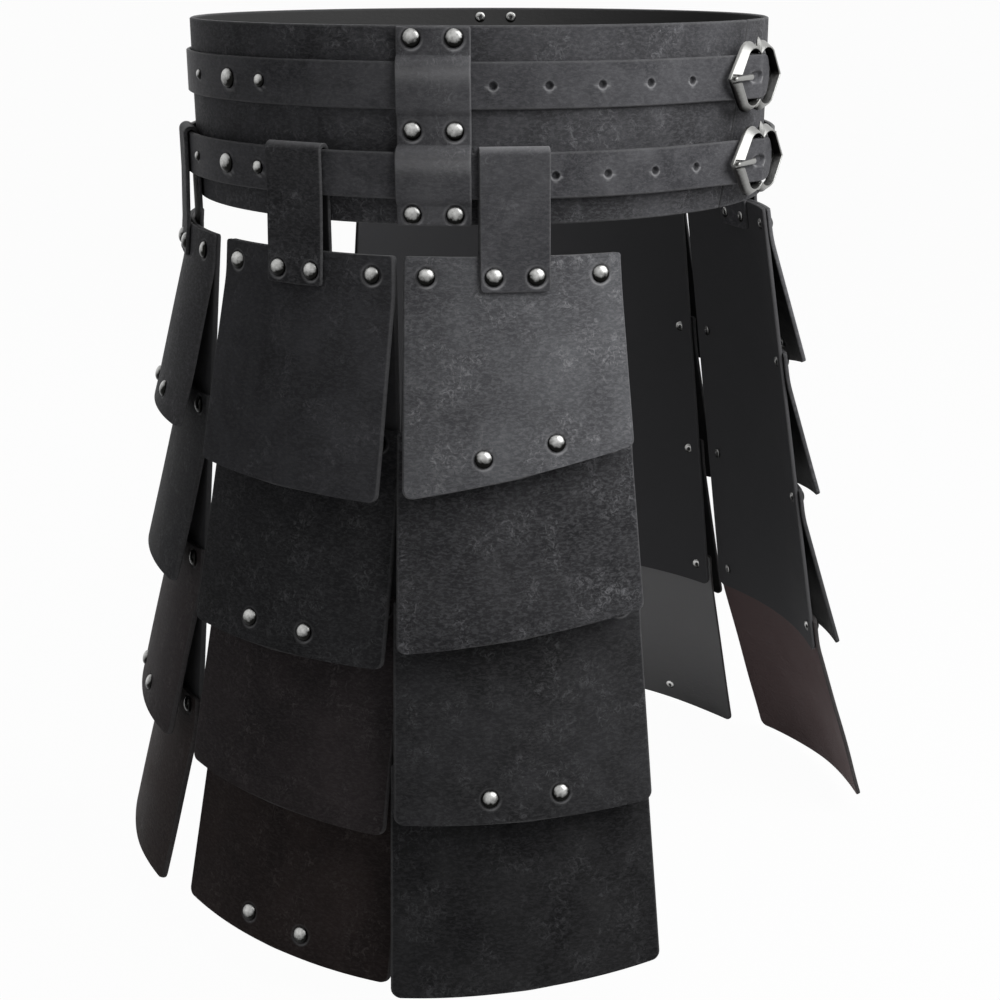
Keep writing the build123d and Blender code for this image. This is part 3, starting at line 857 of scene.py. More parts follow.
@dataclass
class RivetSet:
    """Domed caps, with ring-shaped backs where the inside shows."""

    caps: list[tuple[np.ndarray, np.ndarray, float]] = field(default_factory=list)
    backs: list[tuple[np.ndarray, np.ndarray]] = field(default_factory=list)
    cap_height: float = 3.2
    cap_sides: int = 28
    back_radius: float = 4.0
    back_sides: int = 20
    lip_share: float = 1.2
    lip_width: float = 0.12
    dent_wall: tuple[float, float] = (0.9, 1.4)

    def add(self, origin: np.ndarray, normal: np.ndarray, radius: float = PLAN.cap_radius,
            back: np.ndarray | None = None) -> None:
        """Adds one rivet.

        Args:
            origin: Where its cap sits.
            normal: The cap's axis.
            radius: The cap's radius.
            back: Where its back sits, or None where it has none.
        """
        self.caps.append((origin, normal, radius))
        if back is not None:
            self.backs.append((back, -normal))

    def take(self, other: "RivetSet") -> None:
        """Adds all the rivets of another set."""
        self.caps += other.caps
        self.backs += other.backs

    def columns(self) -> tuple[np.ndarray, np.ndarray, np.ndarray]:
        """The caps' origins, normals and radii."""
        origins, normals, radii = (np.array(column) for column in zip(*self.caps))
        return origins, normals, radii

    def shape(self) -> Shape:
        """All caps and backs.

        The cap's profile is an ellipse with a rolled foot, r = R sin(a) and
        h = H cos(a), sunk a little into the leather; the back is a ring whose hole
        shows the leather.

        Returns:
            The set as one shape.
        """
        angle = np.radians(np.linspace(5, 88, 12))
        dome = np.stack([np.sin(angle) * PLAN.cap_radius,
                         np.cos(angle) * self.cap_height], axis=-1)
        foot = np.array([[1.0, -0.1], [0.97, -0.5]]) * [PLAN.cap_radius, 1.0]
        profile = np.concatenate([dome, foot])
        origins, normals, radii = self.columns()
        caps = turned_parts(origins, normals, radii / PLAN.cap_radius, profile, self.cap_sides)
        ring = np.array([[0.30, -0.3], [0.30, 0.35], [0.38, 0.55], [0.62, 0.62], [0.88, 0.5],
                         [1.0, 0.2], [1.0, -0.3]]) * [self.back_radius, 1.0]
        places, ways = (np.array(column) for column in zip(*self.backs))
        backs = turned_parts(places, ways, np.ones(len(places)), ring, self.back_sides)
        return caps.joined(backs)

    def build(self, name: str, palette: Palette, body: str) -> None:
        """Makes the set one piece, which stands for the node of its name."""
        heads = self.shape().to_object(f"{name}_rivet_heads", palette[Finish.RIVET])
        settle(heads, body, [f"{name}_rivets"])

    def pressed_rings_and_highlights_on(self, surface: np.ndarray) -> np.ndarray:
        """How strongly each surface point lies in a cap's pressed ring.

        It is the greatest of w * bell(r / R) over the caps, where r is the distance from
        the cap, R the cap's radius, and the weight w grows from 0.25 above the cap to 1
        below it: a painted highlight, strongest on the lower wall of the dent, which faces
        the light from above.

        Args:
            surface: Surface points, shape (rows, columns, 3).

        Returns:
            Values from 0 to 1, shape (rows, columns).
        """
        centres, _, radii = self.columns()
        away = surface[:, :, None, :] - centres
        distance = np.linalg.norm(away, axis=-1)
        below = np.clip(-away[..., 2] / np.maximum(distance, 1e-6), 0, 1)
        ring = bell(distance / radii, self.lip_share, self.lip_width)
        return (ring * (0.25 + 0.75 * below)).max(axis=-1)

    def dents_on(self, surface: np.ndarray, depth: float) -> np.ndarray:
        """How far each surface point is drawn in by the rivets.

        Most of the depth ends in a steep wall round a cap's rim, and the rest runs out
        in a wide basin: 0.8 (1 - ease(r / R)) and 0.2 bell(r / R) of it.

        Args:
            surface: Surface points, shape (rows, columns, 3).
            depth: Depth under the caps.

        Returns:
            Distances, shape (rows, columns).
        """
        centres, _, radii = self.columns()
        share = (np.linalg.norm(surface[:, :, None, :] - centres, axis=-1) / radii).min(axis=-1)
        wall, basin = 1 - ease(share, *self.dent_wall), bell(share, 0.0, 2.0)
        return depth * (0.8 * wall + 0.2 * basin)


def skin(outer: np.ndarray, inner: np.ndarray, rivets: RivetSet,
         bulge: float = PLAN.rim_bulge, dent: float = PLAN.dent,
         wear_and_painted_light: np.ndarray | float = 0.0) -> Shape:
    """A leather sheet whose outer side is pressed in round its rivets.

    Args:
        outer: Outer grid.
        inner: Inner grid.
        rivets: The rivets that press on it.
        bulge: How far its rim stands out.
        dent: Depth of the dents.
        wear_and_painted_light: How far each row of its outer side gets a painted highlight, from 0
            to 1.

    Returns:
        The closed sheet.
    """
    # The rivets' rings and the rows' painted highlights are one mark on the outer side
    ring = np.maximum(rivets.pressed_rings_and_highlights_on(outer), wear_and_painted_light)
    drawn = rivets.dents_on(outer, dent)[..., None] * unit(outer - inner)
    return leather_sheet(outer - drawn, inner, bulge, ring)


# The girdle


@dataclass
class WaistBand:
    """The tall band whose ends meet at a slanted slit."""

    palette: Palette
    slit_width: float = 3.0
    slit_top_turn: float = 3.0
    slit_bottom_turn: float = -6.0
    step: float = 3.4
    rim: tuple[float, ...] = (0.0, 0.5, 1.2, 3.0)
    rim_bulge: float = 0.9
    wave: float = 0.35
    wave_length: float = 170.0
    wave_seed: int = 11
    face_inset: float = 0.2

    def build(self) -> None:
        """Wraps a grid once round the waist.

        A point at the share u round the waist and the height z lies at the turn
        slit(z) + g + u (360 - 2g), where slit(z) is linear and g is half the slit.
        """
        half = PLAN.band_height / 2
        height = spread(PLAN.band_height, self.step, self.rim)[::-1] - half
        share = (height + half) / PLAN.band_height
        slit = self.slit_bottom_turn + (self.slit_top_turn - self.slit_bottom_turn) * share
        gap = math.degrees(self.slit_width / 2 / PLAN.ring_radius)
        around = 2 * math.pi * PLAN.ring_radius
        along = spread(around, self.step, self.rim) / around
        turn = slit[:, None] + gap + along[None, :] * (360 - 2 * gap)
        lift = self.wave * waves(along[None, :] * around, height[:, None], self.wave_seed,
                                 self.wave_length)
        radius = PLAN.ring_radius + lift
        outer, inner = (placed(turn, radius - depth, height[:, None])
                        for depth in (self.face_inset, PLAN.band_leather))
        piece = leather_sheet(outer, inner, self.rim_bulge).to_object(
            "band_skin", self.palette[Finish.BAND])
        settle(piece, ROOT, ["waist_band"])


@dataclass
class Belt:
    """One belt: fold, waist run, rise over the bar and rounded tail."""

    palette: Palette
    name: str
    inner: float
    height: float
    fold_length: float = 50.0
    tail_length: float = 22.0
    hole_size: float = 4.4
    hole_pitch: float = 32.0
    hole_count: int = 7
    first_hole_reach: float = 24.0
    rivet_turns: tuple[float, ...] = (-122.0, -108.8, -99.5)
    rivet_radii: tuple[float, ...] = (3.0, 6.0, 4.0)
    fold_rivet_radius: float = 4.0
    fold_rivet_share: float = 0.84
    prong_hole_x: float = -8.5
    prong_hole_half: tuple[float, float] = (6.5, 3.2)
    hole_floor: float = 0.4
    dent: float = 0.4
    hole_wall: tuple[float, float] = (0.75, 1.1)
    hole_highlight_ring: tuple[float, float] = (1.35, 0.22)
    oval_wall: tuple[float, float] = (0.85, 1.1)
    oval_highlight_ring: tuple[float, float] = (1.2, 0.12)
    highlight_below: float = 0.7
    highlight_above: float = 0.15
    run_step: float = 3.0
    run_rim: tuple[float, ...] = (0.0, 0.4, 1.0, 2.0, 3.5, 5.5, 8.0)
    strip_step: float = 1.6

    @property
    def bar(self) -> float:
        """Distance of the buckle's bar from the axis."""
        return self.inner + PLAN.belt_leather + PLAN.seat_gap + PLAN.bar_radius

    @property
    def eye_radius(self) -> float:
        """Radius of the fold's middle line round the bar."""
        return PLAN.bar_radius + PLAN.seat_gap + PLAN.belt_leather / 2

    @property
    def over_radius(self) -> float:
        """Radius of the middle line where the belt passes over its own fold."""
        return self.eye_radius + PLAN.belt_leather + PLAN.seat_gap

    @property
    def lean(self) -> float:
        """Lean of the fold, so that it lies flat against the belt below."""
        landing = self.inner + PLAN.belt_leather * 1.5 + PLAN.seat_gap
        return math.degrees(math.acos((landing - self.eye_radius) / self.bar))

    def route(self) -> np.ndarray:
        """The middle line in plan, from the fold's end to the tail's.

        Returns:
            Points in the horizontal plane, shape (n, 3).
        """
        middle = self.inner + PLAN.belt_leather / 2
        centre = outward(0) * self.bar
        leave = math.degrees(math.acos((middle - self.over_radius) / self.bar))
        fold_top = centre + outward(self.lean) * self.eye_radius
        top = centre + outward(self.lean) * self.over_radius
        fold = centre + outward(np.linspace(self.lean, -180, 24)) * self.eye_radius
        round_waist = outward(np.linspace(0, 360 - leave, 500)) * middle
        over = centre + outward(np.linspace(-leave, self.lean, 14)) * self.over_radius
        return np.concatenate([
            (fold_top + sideways(self.lean) * self.fold_length)[None], fold,
            round_waist[1:], over, (top + sideways(self.lean) * self.tail_length)[None]])

    def rivets(self) -> RivetSet:
        """The rivets near the right hip and the one through the fold."""
        made = RivetSet()
        for turn, radius in zip(self.rivet_turns, self.rivet_radii):
            made.add(placed(turn, self.inner + PLAN.belt_leather, self.height), outward(turn),
                     radius, placed(turn, PLAN.band_inside, self.height))
        lean = math.radians(self.lean)
        face = self.bar * math.cos(lean) + self.eye_radius + PLAN.belt_leather / 2
        across = self.fold_length * self.fold_rivet_share - self.bar * math.sin(lean)
        made.add(placed(self.lean, face, self.height, across), outward(self.lean),
                 self.fold_rivet_radius)
        return made

    def holes(self, raw: np.ndarray, length: np.ndarray) -> tuple[np.ndarray, float]:
        """Where the punched holes and the prong's hole lie along the belt.

        Args:
            raw: Points of the route.
            length: Their running lengths.

        Returns:
            The runs of the punched holes, and the run of the prong's hole.
        """
        # Each is looked up in the last part of the run, where its value comes only once
        past_share, tail_reach = 0.6, 60.0
        turn = np.degrees(np.unwrap(np.arctan2(raw[:, 0], -raw[:, 1]))) - 360
        past = length > length[-1] * past_share
        tail = length > length[-1] - tail_reach
        reaches = -np.degrees(
            (self.first_hole_reach + np.arange(self.hole_count) * self.hole_pitch)
            / (self.inner + PLAN.belt_leather / 2))
        return (np.interp(reaches, turn[past], length[past]),
                float(np.interp(self.prong_hole_x, raw[tail, 0], length[tail])))

    def build(self) -> RivetSet:
        """Carries the belt's section along its route, with pits for the punched holes.

        A point at the run s and the height z is route(s) +- n(s) * half leather, where n
        is square to the route in plan. Within each hole's radius the outer side sinks
        almost to the inner one, and a painted highlight rings the hole's rim, most below it.

        Returns:
            The belt's rivets, to be made with those of the other belt.
        """
        raw = self.route()
        length = arc_length(raw)
        total = length[-1]
        holes, prong_hole = self.holes(raw, length)
        # The grid is finer at the holes and where the belt bends round the bar
        spans = [(hole - 3, hole + 3, 13) for hole in holes]
        spans += [(prong_hole - 8, prong_hole + 8, 27),
                  (self.fold_length - 4, self.fold_length + 14, 24)]
        run = np.unique(np.round(np.concatenate([
            spread(total, self.run_step, self.run_rim),
            *(np.linspace(*span) for span in spans)]), 3))
        line = points_at(raw, run)
        side = np.cross(tangents(line), UP)

        # The tail narrows to a half circle
        half = PLAN.belt_width / 2
        left = np.clip(half - (total - run), 0, half)
        narrowed = np.sqrt(half**2 - left**2 * 0.998)
        strip = np.unique(np.concatenate([
            spread(PLAN.belt_width, self.strip_step, PLAN.rim) - half,
            np.linspace(-3.2, 3.2, 13)]))
        level = (strip / half)[None, :] * narrowed[:, None]
        rise = (level + self.height)[..., None] * UP
        thick = PLAN.belt_leather / 2
        outer = line[:, None, :] + side[:, None, :] * thick + rise
        inner = line[:, None, :] - side[:, None, :] * thick + rise

        rivets = self.rivets()
        # Distances from the nearest hole and the prong's hole, as shares of their sizes
        reach = np.hypot(run[:, None, None] - holes, level[..., None]).min(axis=-1)
        reach = reach / (self.hole_size / 2)
        oval = np.hypot((run[:, None] - prong_hole) / self.prong_hole_half[0],
                        level / self.prong_hole_half[1])
        pit = np.maximum(1 - ease(reach, *self.hole_wall), 1 - ease(oval, *self.oval_wall))
        deep = PLAN.belt_leather - self.hole_floor
        outer = outer - side[:, None, :] * (pit * deep)[..., None]
        shape = skin(outer, inner, rivets, dent=self.dent)
        # Painted highlight round each hole, strongest on its lower rim where light from above
        # falls
        hole_highlight = np.maximum(bell(reach, *self.hole_highlight_ring), bell(oval, *self.oval_highlight_ring))
        hole_highlight = hole_highlight * np.where(level < 0, self.highlight_below, self.highlight_above)
        shape.marks["pressed"][:hole_highlight.size] += hole_highlight.ravel()
        piece = shape.to_object(f"{self.name}_belt_skin", self.palette[Finish.BELTING])
        settle(piece, ROOT, [f"{self.name}_belt"])
        return rivets


@dataclass
class Buckle:
    """A cast centre-bar buckle with lobes, cusps and a leaf, and its prong."""

    palette: Palette
    belt: Belt
    half_width: float = 35.0
    lobe: float = 21.0
    cusp: float = 17.0
    shoulder: tuple[float, float] = (0.56, 0.82)
    eye_half_width: float = 28.5
    eye_lobe: float = 16.6
    eye_cusp: float = 13.2
    eye_shoulder: tuple[float, float] = (0.62, 0.86)
    lobe_share: float = 0.27
    depth: float = 6.0
    leaf_height: float = 23.5
    leaf_half: tuple[float, float] = (2.6, 1.7)
    point_half: float = 1.8
    point_reach: float = 2.0
    leaf_rise: float = 4.4
    leaf_sink: float = 1.6
    prong_rise: float = 7.1
    prong_knee: float = 9.0
    prong_reach: float = 33.0
    prong_half: float = 1.3
    ring_lift: float = 0.95
    ring_half: tuple[float, float] = (2.0, 0.88)
    notch_x: float = -20.0
    notch_half: tuple[float, float] = (2.0, 2.6)
    sharp_angle: float = 28.0

    @property
    def frame_back(self) -> float:
        """Distance of the frame's back from the bar's middle."""
        return PLAN.bar_radius + PLAN.seat_gap + PLAN.frame_lift

    def outline(self, half: float, lobe: float, cusp: float,
                shares: tuple[float, float]) -> np.ndarray:
        """The buckle's outline: straight tips, and lobes on arcs that end in cusps.

        The arc goes through the shoulder, the lobe's top and the cusp; the other three
        quarters are its mirror images.

        Args:
            half: Half width, at the tips.
            lobe: Height of the lobes.
            cusp: Height of the cusps.
            shares: Place of the shoulder as shares of half width and lobe.

        Returns:
            Points (x, z) round the outline, shape (192, 2).
        """
        shoulder = np.array([half * shares[0], lobe * shares[1]])
        crest = np.array([half * self.lobe_share, lobe])
        end = np.array([0.0, cusp])
        side = np.linspace([half, 0.0], shoulder, 24, endpoint=False)
        a = np.array([crest - shoulder, end - shoulder]) * 2
        b = np.array([crest @ crest - shoulder @ shoulder, end @ end - shoulder @ shoulder])
        centre = np.linalg.solve(a, b)
        first = math.atan2(*(shoulder - centre)[::-1])
        last = math.atan2(*(end - centre)[::-1])
        angle = np.linspace(first, last, 25)
        radius = float(np.linalg.norm(end - centre))
        arc = centre + radius * np.stack([np.cos(angle), np.sin(angle)], axis=-1)
        quarter = np.concatenate([side, arc])
        upper = np.concatenate([quarter, quarter[-2::-1] * [-1.0, 1.0]])
        return np.concatenate([upper, (upper * [1.0, -1.0])[-2:0:-1]])

    def place(self, x: np.ndarray, z: np.ndarray, out: np.ndarray) -> np.ndarray:
        """Points from sideways, upright and outward distances at the bar's height."""
        return np.stack([x, -(self.belt.bar + out), z + self.belt.height], axis=-1)

    def frame_shape(self) -> Shape:
        """The frame: a bevelled section carried round between the eye and the outline.

        A section point (m, h) lies at eye + m (outline - eye) and h above the frame's
        back; h is lowered near the tip where the prong rests.

        Returns:
            The frame with the mark "crest": high on the front edges, where the antiquing
            is rubbed off, and painted light that makes the faces that look up lighter and
            those that look down darker.
        """
        outside = self.outline(self.half_width, self.lobe, self.cusp, self.shoulder)
        eye = self.outline(self.eye_half_width, self.eye_lobe, self.eye_cusp,
                           self.eye_shoulder)
        section = np.array([
            [0.0, 0.0], [0.0, 5.3], [0.03, 5.75], [0.09, 6.0], [0.19, 6.0], [0.26, 5.75],
            [0.92, 1.9], [0.98, 1.6], [1.0, 1.2], [1.0, 0.0]])
        plan = eye[:, None, :] + section[None, :, 0:1] * (outside - eye)[:, None, :]
        x, z = plan[..., 0], plan[..., 1]
        notch = (x < self.notch_x) * (1 - ease(np.abs(z), *self.notch_half))
        rest = self.prong_rise - self.prong_half - self.frame_back
        height = np.broadcast_to(section[None, :, 1], x.shape)
        height = np.where(notch > 0, np.minimum(height, rest + (1 - notch) * self.depth), height)
        points = self.place(x, z, self.frame_back + height).reshape(-1, 3)
        quads = grid_quads(*x.shape, wrap_rows=True, wrap=True)
        # Painted light: the faces that look up, the outer bevel's upper half and the inner wall's
        # lower half, are lighter, and the others darker; the front edges are polished
        upper = np.tanh(z / 3.0)
        wear_and_painted_light = np.where(section[None, :, 0] > 0.5, 0.35 + 0.3 * upper, 0.28 - 0.35 * upper)
        wear_and_painted_light = np.where(section[None, :, 1] > 5.5, 0.8, wear_and_painted_light)
        return Shape(points, quads, [], {"crest": wear_and_painted_light.ravel()}).turned_out()

    def leaf_shape(self) -> Shape:
        """The pointed leaf at the upper cusp and the small point at the lower one."""
        share = np.linspace(0.02, 0.98, 14)
        made = None
        wide, thick = self.leaf_half
        for foot, tip, width in (
            (self.eye_cusp, self.leaf_height, wide),
            (-self.eye_cusp, -self.cusp - self.point_reach, self.point_half),
        ):
            z = foot + (tip - foot) * share
            swell = np.sin(np.pi * share**0.8) ** 0.7
            out = self.frame_back + self.leaf_rise - self.leaf_sink * share
            path = self.place(np.zeros(len(share)), z, out)
            leaf = tube(path, ASIDE, width * swell, thick * swell, 8)
            leaf.marks["crest"] = np.full(len(leaf.points), 0.8)
            made = leaf if made is None else made.joined(leaf)
        return made

    def bar_shape(self) -> Shape:
        """The centre bar and the two short legs that carry it."""
        leg = (self.cusp + self.eye_cusp) / 2
        still, width = np.zeros(5), np.full(5, PLAN.bar_radius)
        made = tube(self.place(still, np.linspace(-leg, leg, 5), still), ASIDE, width, width)
        out = np.linspace(-PLAN.bar_radius, self.frame_back + 2.0, 5)
        for end in (-leg, leg):
            path = self.place(still, still + end, out)
            made = made.joined(tube(path, ASIDE, width * 1.2, width))
        return made

    def prong_shape(self) -> Shape:
        """The prong: a ring round the bar and a finger that thins to a rounded tip.

        Returns:
            The prong as one shape.
        """
        angle = np.linspace(0, 2 * math.pi, 32, endpoint=False)
        ring_radius = PLAN.bar_radius + self.ring_lift
        circle = self.place(ring_radius * np.cos(angle), np.zeros(32),
                            ring_radius * np.sin(angle))
        eye = tube(circle, UP, *(np.full(32, half) for half in self.ring_half), closed=True)
        corners = np.array([[-1.4, 2.2], [-self.prong_knee, self.prong_rise],
                            [-self.prong_reach, self.prong_rise]])
        line = rounded_line(corners, [6.0], 0.6)
        share = np.linspace(0, 1, len(line))
        tip = np.sqrt(np.clip(1 - ((share - 0.93) / 0.07).clip(0) ** 2, 0.02, 1))
        path = self.place(line[:, 0], np.zeros(len(line)), line[:, 1])
        thick = (self.prong_half - 0.25 * share) * tip
        finger = tube(path, UP, (2.0 - 0.55 * share) * tip, thick, 16)
        made = eye.joined(finger)
        made.marks["crest"] = np.full(len(made.points), 0.7)
        return made

    def build(self) -> None:
        """Makes the buckle and its prong."""
        name = self.belt.name
        cast = self.frame_shape().joined(self.leaf_shape()).joined(self.bar_shape())
        metal = self.palette[Finish.BUCKLE]
        buckle = cast.to_object(f"{name}_buckle_cast", metal)
        buckle.data.set_sharp_from_angle(angle=math.radians(self.sharp_angle))
        settle(buckle, ROOT, [f"{name}_buckle"])
        prong = self.prong_shape().to_object(f"{name}_prong_cast", metal)
        settle(prong, f"{name}_prong_body", [f"{name}_prong"])


@dataclass
class Keeper:
    """A plate that bulges over both belts, riveted to the band between them."""

    palette: Palette
    name: str
    turn: float
    width: float = 41.0
    leather: float = 3.0
    mid_lift: float = 1.2
    foot_lift: float = 4.2
    slope: float = 2.6
    margin: float = 0.5
    rivet_inset: float = 6.0
    rivet_spacing: float = 24.0
    bend: float = 3.6
    crest_rise: float = 7.5
    crest_reach: float = 5.0
    crest_highlight: float = 0.36
    step: float = 1.6
    fine_reach: float = 7.5
    fine_step: float = 0.75

    def inside_line(self) -> np.ndarray:
        """Distance and height down the plate's inner side, with rounded bends."""
        half, gap = PLAN.belt_width / 2, PLAN.seat_gap
        top = PLAN.band_height / 2 - self.margin
        over = PLAN.upper_inner + PLAN.belt_leather + gap
        middle = PLAN.upper_inner + self.mid_lift
        foot = PLAN.upper_inner + self.foot_lift
        edges = [PLAN.upper_belt_z + half + gap, PLAN.upper_belt_z - half - gap,
                 PLAN.lower_belt_z + half + gap, PLAN.lower_belt_z - half - gap]
        corners = np.array([
            [PLAN.upper_inner, top], [PLAN.upper_inner, edges[0] + self.slope],
            [over, edges[0]], [over, edges[1]], [middle, edges[1] - self.slope],
            [middle, edges[2] + self.slope], [PLAN.outer_leg_face, edges[2]],
            [PLAN.outer_leg_face, edges[3]], [foot, edges[3] - self.slope], [foot, -top]])
        return rounded_line(corners, [self.bend] * 8, 0.8)

    def build(self, rivets: RivetSet) -> None:
        """Sweeps the plate's inner line round the waist by its width.

        A point of the line (r, z) and the share u across the plate lies at the turn
        turn + u * width / ring radius. The upper part of each bulge gets a painted
        highlight of highlight * bell(z - belt, rise, reach).

        Args:
            rivets: The set that gets this plate's rivets.
        """
        line = self.inside_line()
        own = RivetSet()
        for height in (PLAN.band_height / 2 - self.rivet_inset,
                       (PLAN.upper_belt_z + PLAN.lower_belt_z) / 2,
                       self.rivet_inset - PLAN.band_height / 2):
            radius = float(np.interp(-height, -line[:, 1], line[:, 0])) + self.leather
            for side in (-1, 1):
                turn = self.turn + side * math.degrees(self.rivet_spacing / 2 / PLAN.ring_radius)
                own.add(placed(turn, radius - PLAN.cap_sink, height), outward(turn),
                        back=placed(turn, PLAN.band_inside, height))
        rivets.take(own)
        spots = [(self.width + side * self.rivet_spacing) / 2 for side in (-1, 1)]
        across = closer(spread(self.width, self.step, PLAN.rim), spots, self.fine_reach,
                        self.fine_step)
        across = across - self.width / 2
        turn = self.turn + np.degrees(across / PLAN.ring_radius)
        outer, inner = (placed(turn, side[:, :1], side[:, 1:])
                        for side in (raised(line, self.leather), line))
        # Painted highlight on the upper part of each bulge, where light from above falls
        highlight_bands = [bell(line[:, 1] - belt_z, self.crest_rise, self.crest_reach)
                  for belt_z in (PLAN.upper_belt_z, PLAN.lower_belt_z)]
        wear_and_painted_light = self.crest_highlight * np.max(highlight_bands, axis=0)
        piece = skin(outer, inner, own, wear_and_painted_light=wear_and_painted_light[:, None]).to_object(
            f"{self.name}_skin", self.palette[Finish.BLACK])
        settle(piece, ROOT, [self.name])


# The tassets


@dataclass(frozen=True)
class LeatherProfile:
    """The line down a sheet: a straight land, then a flare outwards.

    The line's lean is slope + flare * ease(down, land - bend, land + bend); its radius
    and height are the running sums of the lean's sine and cosine.
    """

    radius: float
    height: float
    length: float
    slope: float
    flare: float = 0.0
    land: float = 22.0
    bend: float = 9.0
    fine: float = 0.25

    def at(self, down: np.ndarray, out: np.ndarray | float) -> tuple[np.ndarray, np.ndarray]:
        """Radius and height on the sheet.

        Args:
            down: Distance down the sheet.
            out: Distance out from its inner side.

        Returns:
            Radius and height, of the shape of down.
        """
        table = np.arange(-5.0, self.length + 5.0, self.fine)
        lean = np.radians(
            self.slope + self.flare * ease(table, self.land - self.bend, self.land + self.bend))
        start = int(round(5.0 / self.fine))
        radius = np.cumsum(np.sin(lean)) * self.fine
        height = -np.cumsum(np.cos(lean)) * self.fine
        radius, height = radius - radius[start], height - height[start]
        here = np.interp(down, table, lean)
        return (
            self.radius + np.interp(down, table, radius) + out * np.cos(here),
            self.height + np.interp(down, table, height) + out * np.sin(here),
        )


@dataclass
class TassetSheet:
    """One sheet of a tasset: its profile carried round the waist, cut to its outline."""

    turn: float
    profile: LeatherProfile
    leather: float
    top_half: float
    bottom_half: float
    corner: float = 5.0
    top_corner: float = 2.0
    roundness: float = 1.003
    wave: float = 0.0
    seed: int = 0
    edges: tuple[float, float] | None = None
    down_rim: tuple[float, ...] = (0.0, 0.15, 0.5, 1.1, 2.0, 3.2, 4.8)
    side_rim: tuple[float, ...] = (0.0, 0.4, 1.0, 2.0)
    fine_reach: float = 9.0
    fine_step: float = 0.75
    wave_length: float = 120.0

    def surface(self, down: np.ndarray, across: np.ndarray, out: float) -> np.ndarray:
        """Points on the sheet.

        With (r, z) from the profile, a point at the sideways distance w lies at the
        radius R = roundness * r and the turn turn + asin(w / R).

        Args:
            down: Distance down the sheet.
            across: Sideways distance from its middle.
            out: Distance out from its inner side.

        Returns:
            Points, of the shape of down and across with 3 added.
        """
        lift = self.wave * waves(across, down, self.seed, self.wave_length)
        lift = lift * (down / self.profile.length) ** 1.5
        radius, height = self.profile.at(down, out + lift)
        polar = radius * self.roundness
        turn = self.turn + np.degrees(np.arcsin(across / polar))
        return placed(turn, polar, height)

    def edge_down(self, across: np.ndarray | float) -> np.ndarray | float:
        """Length of the sheet at a sideways place: the lower edge slants evenly."""
        low, high = self.edges or (self.profile.length, self.profile.length)
        return (low + high) / 2 + (high - low) / 2 * across / self.bottom_half

    def grids(self, step: float = 3.0, spots: list[tuple[float, float]] | None = None,
              ) -> tuple[np.ndarray, np.ndarray]:
        """Outer and inner grids, with the corners rounded and the lower edge slanted.

        The half width shrinks by corner_cut near either end. Each column is then
        shortened evenly to its own length.

        Args:
            step: Wanted distance between points.
            spots: Distances down and across of rivets, where the grid is finer.

        Returns:
            The two grids.
        """
        length = self.profile.length
        down = spread(length, step, self.down_rim)
        spots = spots or []
        rows = [place / float(self.edge_down(aside)) for place, aside in spots]
        down = closer(down, sorted({round(row * length, 1) for row in rows}),
                      self.fine_reach, self.fine_step)
        share = down / length
        half = self.top_half + (self.bottom_half - self.top_half) * share
        half = half - corner_cut(down, self.top_corner) - corner_cut(length - down, self.corner)
        width = 2 * self.top_half
        columns = [aside / (self.top_half + (self.bottom_half - self.top_half) * row)
                   for row, (_, aside) in zip(rows, spots)]
        strip = closer(spread(width, step, self.side_rim),
                       [(1 + column) * width / 2 for column in columns],
                       self.fine_reach, self.fine_step)
        strip = strip * 2 / width - 1
        down_grid = share[:, None] * self.edge_down(strip * self.bottom_half)[None, :]
        across = half[:, None] * strip[None, :]
        return (self.surface(down_grid, across, self.leather),
                self.surface(down_grid, across, 0.0))

    def spot(self, down: float, across: float, out: float) -> tuple[np.ndarray, np.ndarray]:
        """A place on the sheet and the direction out of it.

        Args:
            down: Distance down the sheet.
            across: Sideways distance from its middle.
            out: Distance out from its inner side.

        Returns:
            The point and the unit normal.
        """
        place = self.surface(np.array([down]), np.array([across]), out)[0]
        further = self.surface(np.array([down]), np.array([across]), out + 1.0)[0]
        return place, unit(further - place)


@dataclass(frozen=True)
class Cut:
    """How a pair of tassets is cut, with the lengths of the lames' front and back edges."""

    lengths: tuple[tuple[float, float], ...]
    studded: tuple[int, ...]
    finishes: tuple[Finish, ...]
    strap: Finish = Finish.BLACK


# The rows are darker towards the bottom; the side and back tassets take painted-shade copies of
# the upper rows, and the back's first row takes the front's second
FRONT_ROWS = (Finish.FIRST, Finish.SECOND, Finish.THIRD, Finish.FOURTH)
SIDE_ROWS = (Finish.FIRST_PAINTED_SHADE, Finish.SECOND_PAINTED_SHADE, Finish.THIRD_WARM, Finish.FOURTH_WARM)
BACK_ROWS = (Finish.SECOND, Finish.SECOND_PAINTED_SHADE, Finish.THIRD_WARM, Finish.FOURTH_WARM)


class Place(Enum):
    """The three pairs of tassets, from the front to the back."""

    FRONT = Cut(((115.0, 141.0), (112.0, 132.0), (129.0, 136.0), (132.0, 145.0)), (0, 2),
                FRONT_ROWS)
    SIDE = Cut(((145.0, 138.0), (145.0, 142.0), (149.0, 138.0), (146.0, 135.0)), (1, 3), SIDE_ROWS,
               Finish.BLACK_PAINTED_SHADE)
    BACK = Cut(((126.0, 124.0), (126.0, 124.0), (131.0, 127.0), (133.0, 131.0)), (0, 2), BACK_ROWS,
               Finish.BLACK_PAINTED_SHADE)


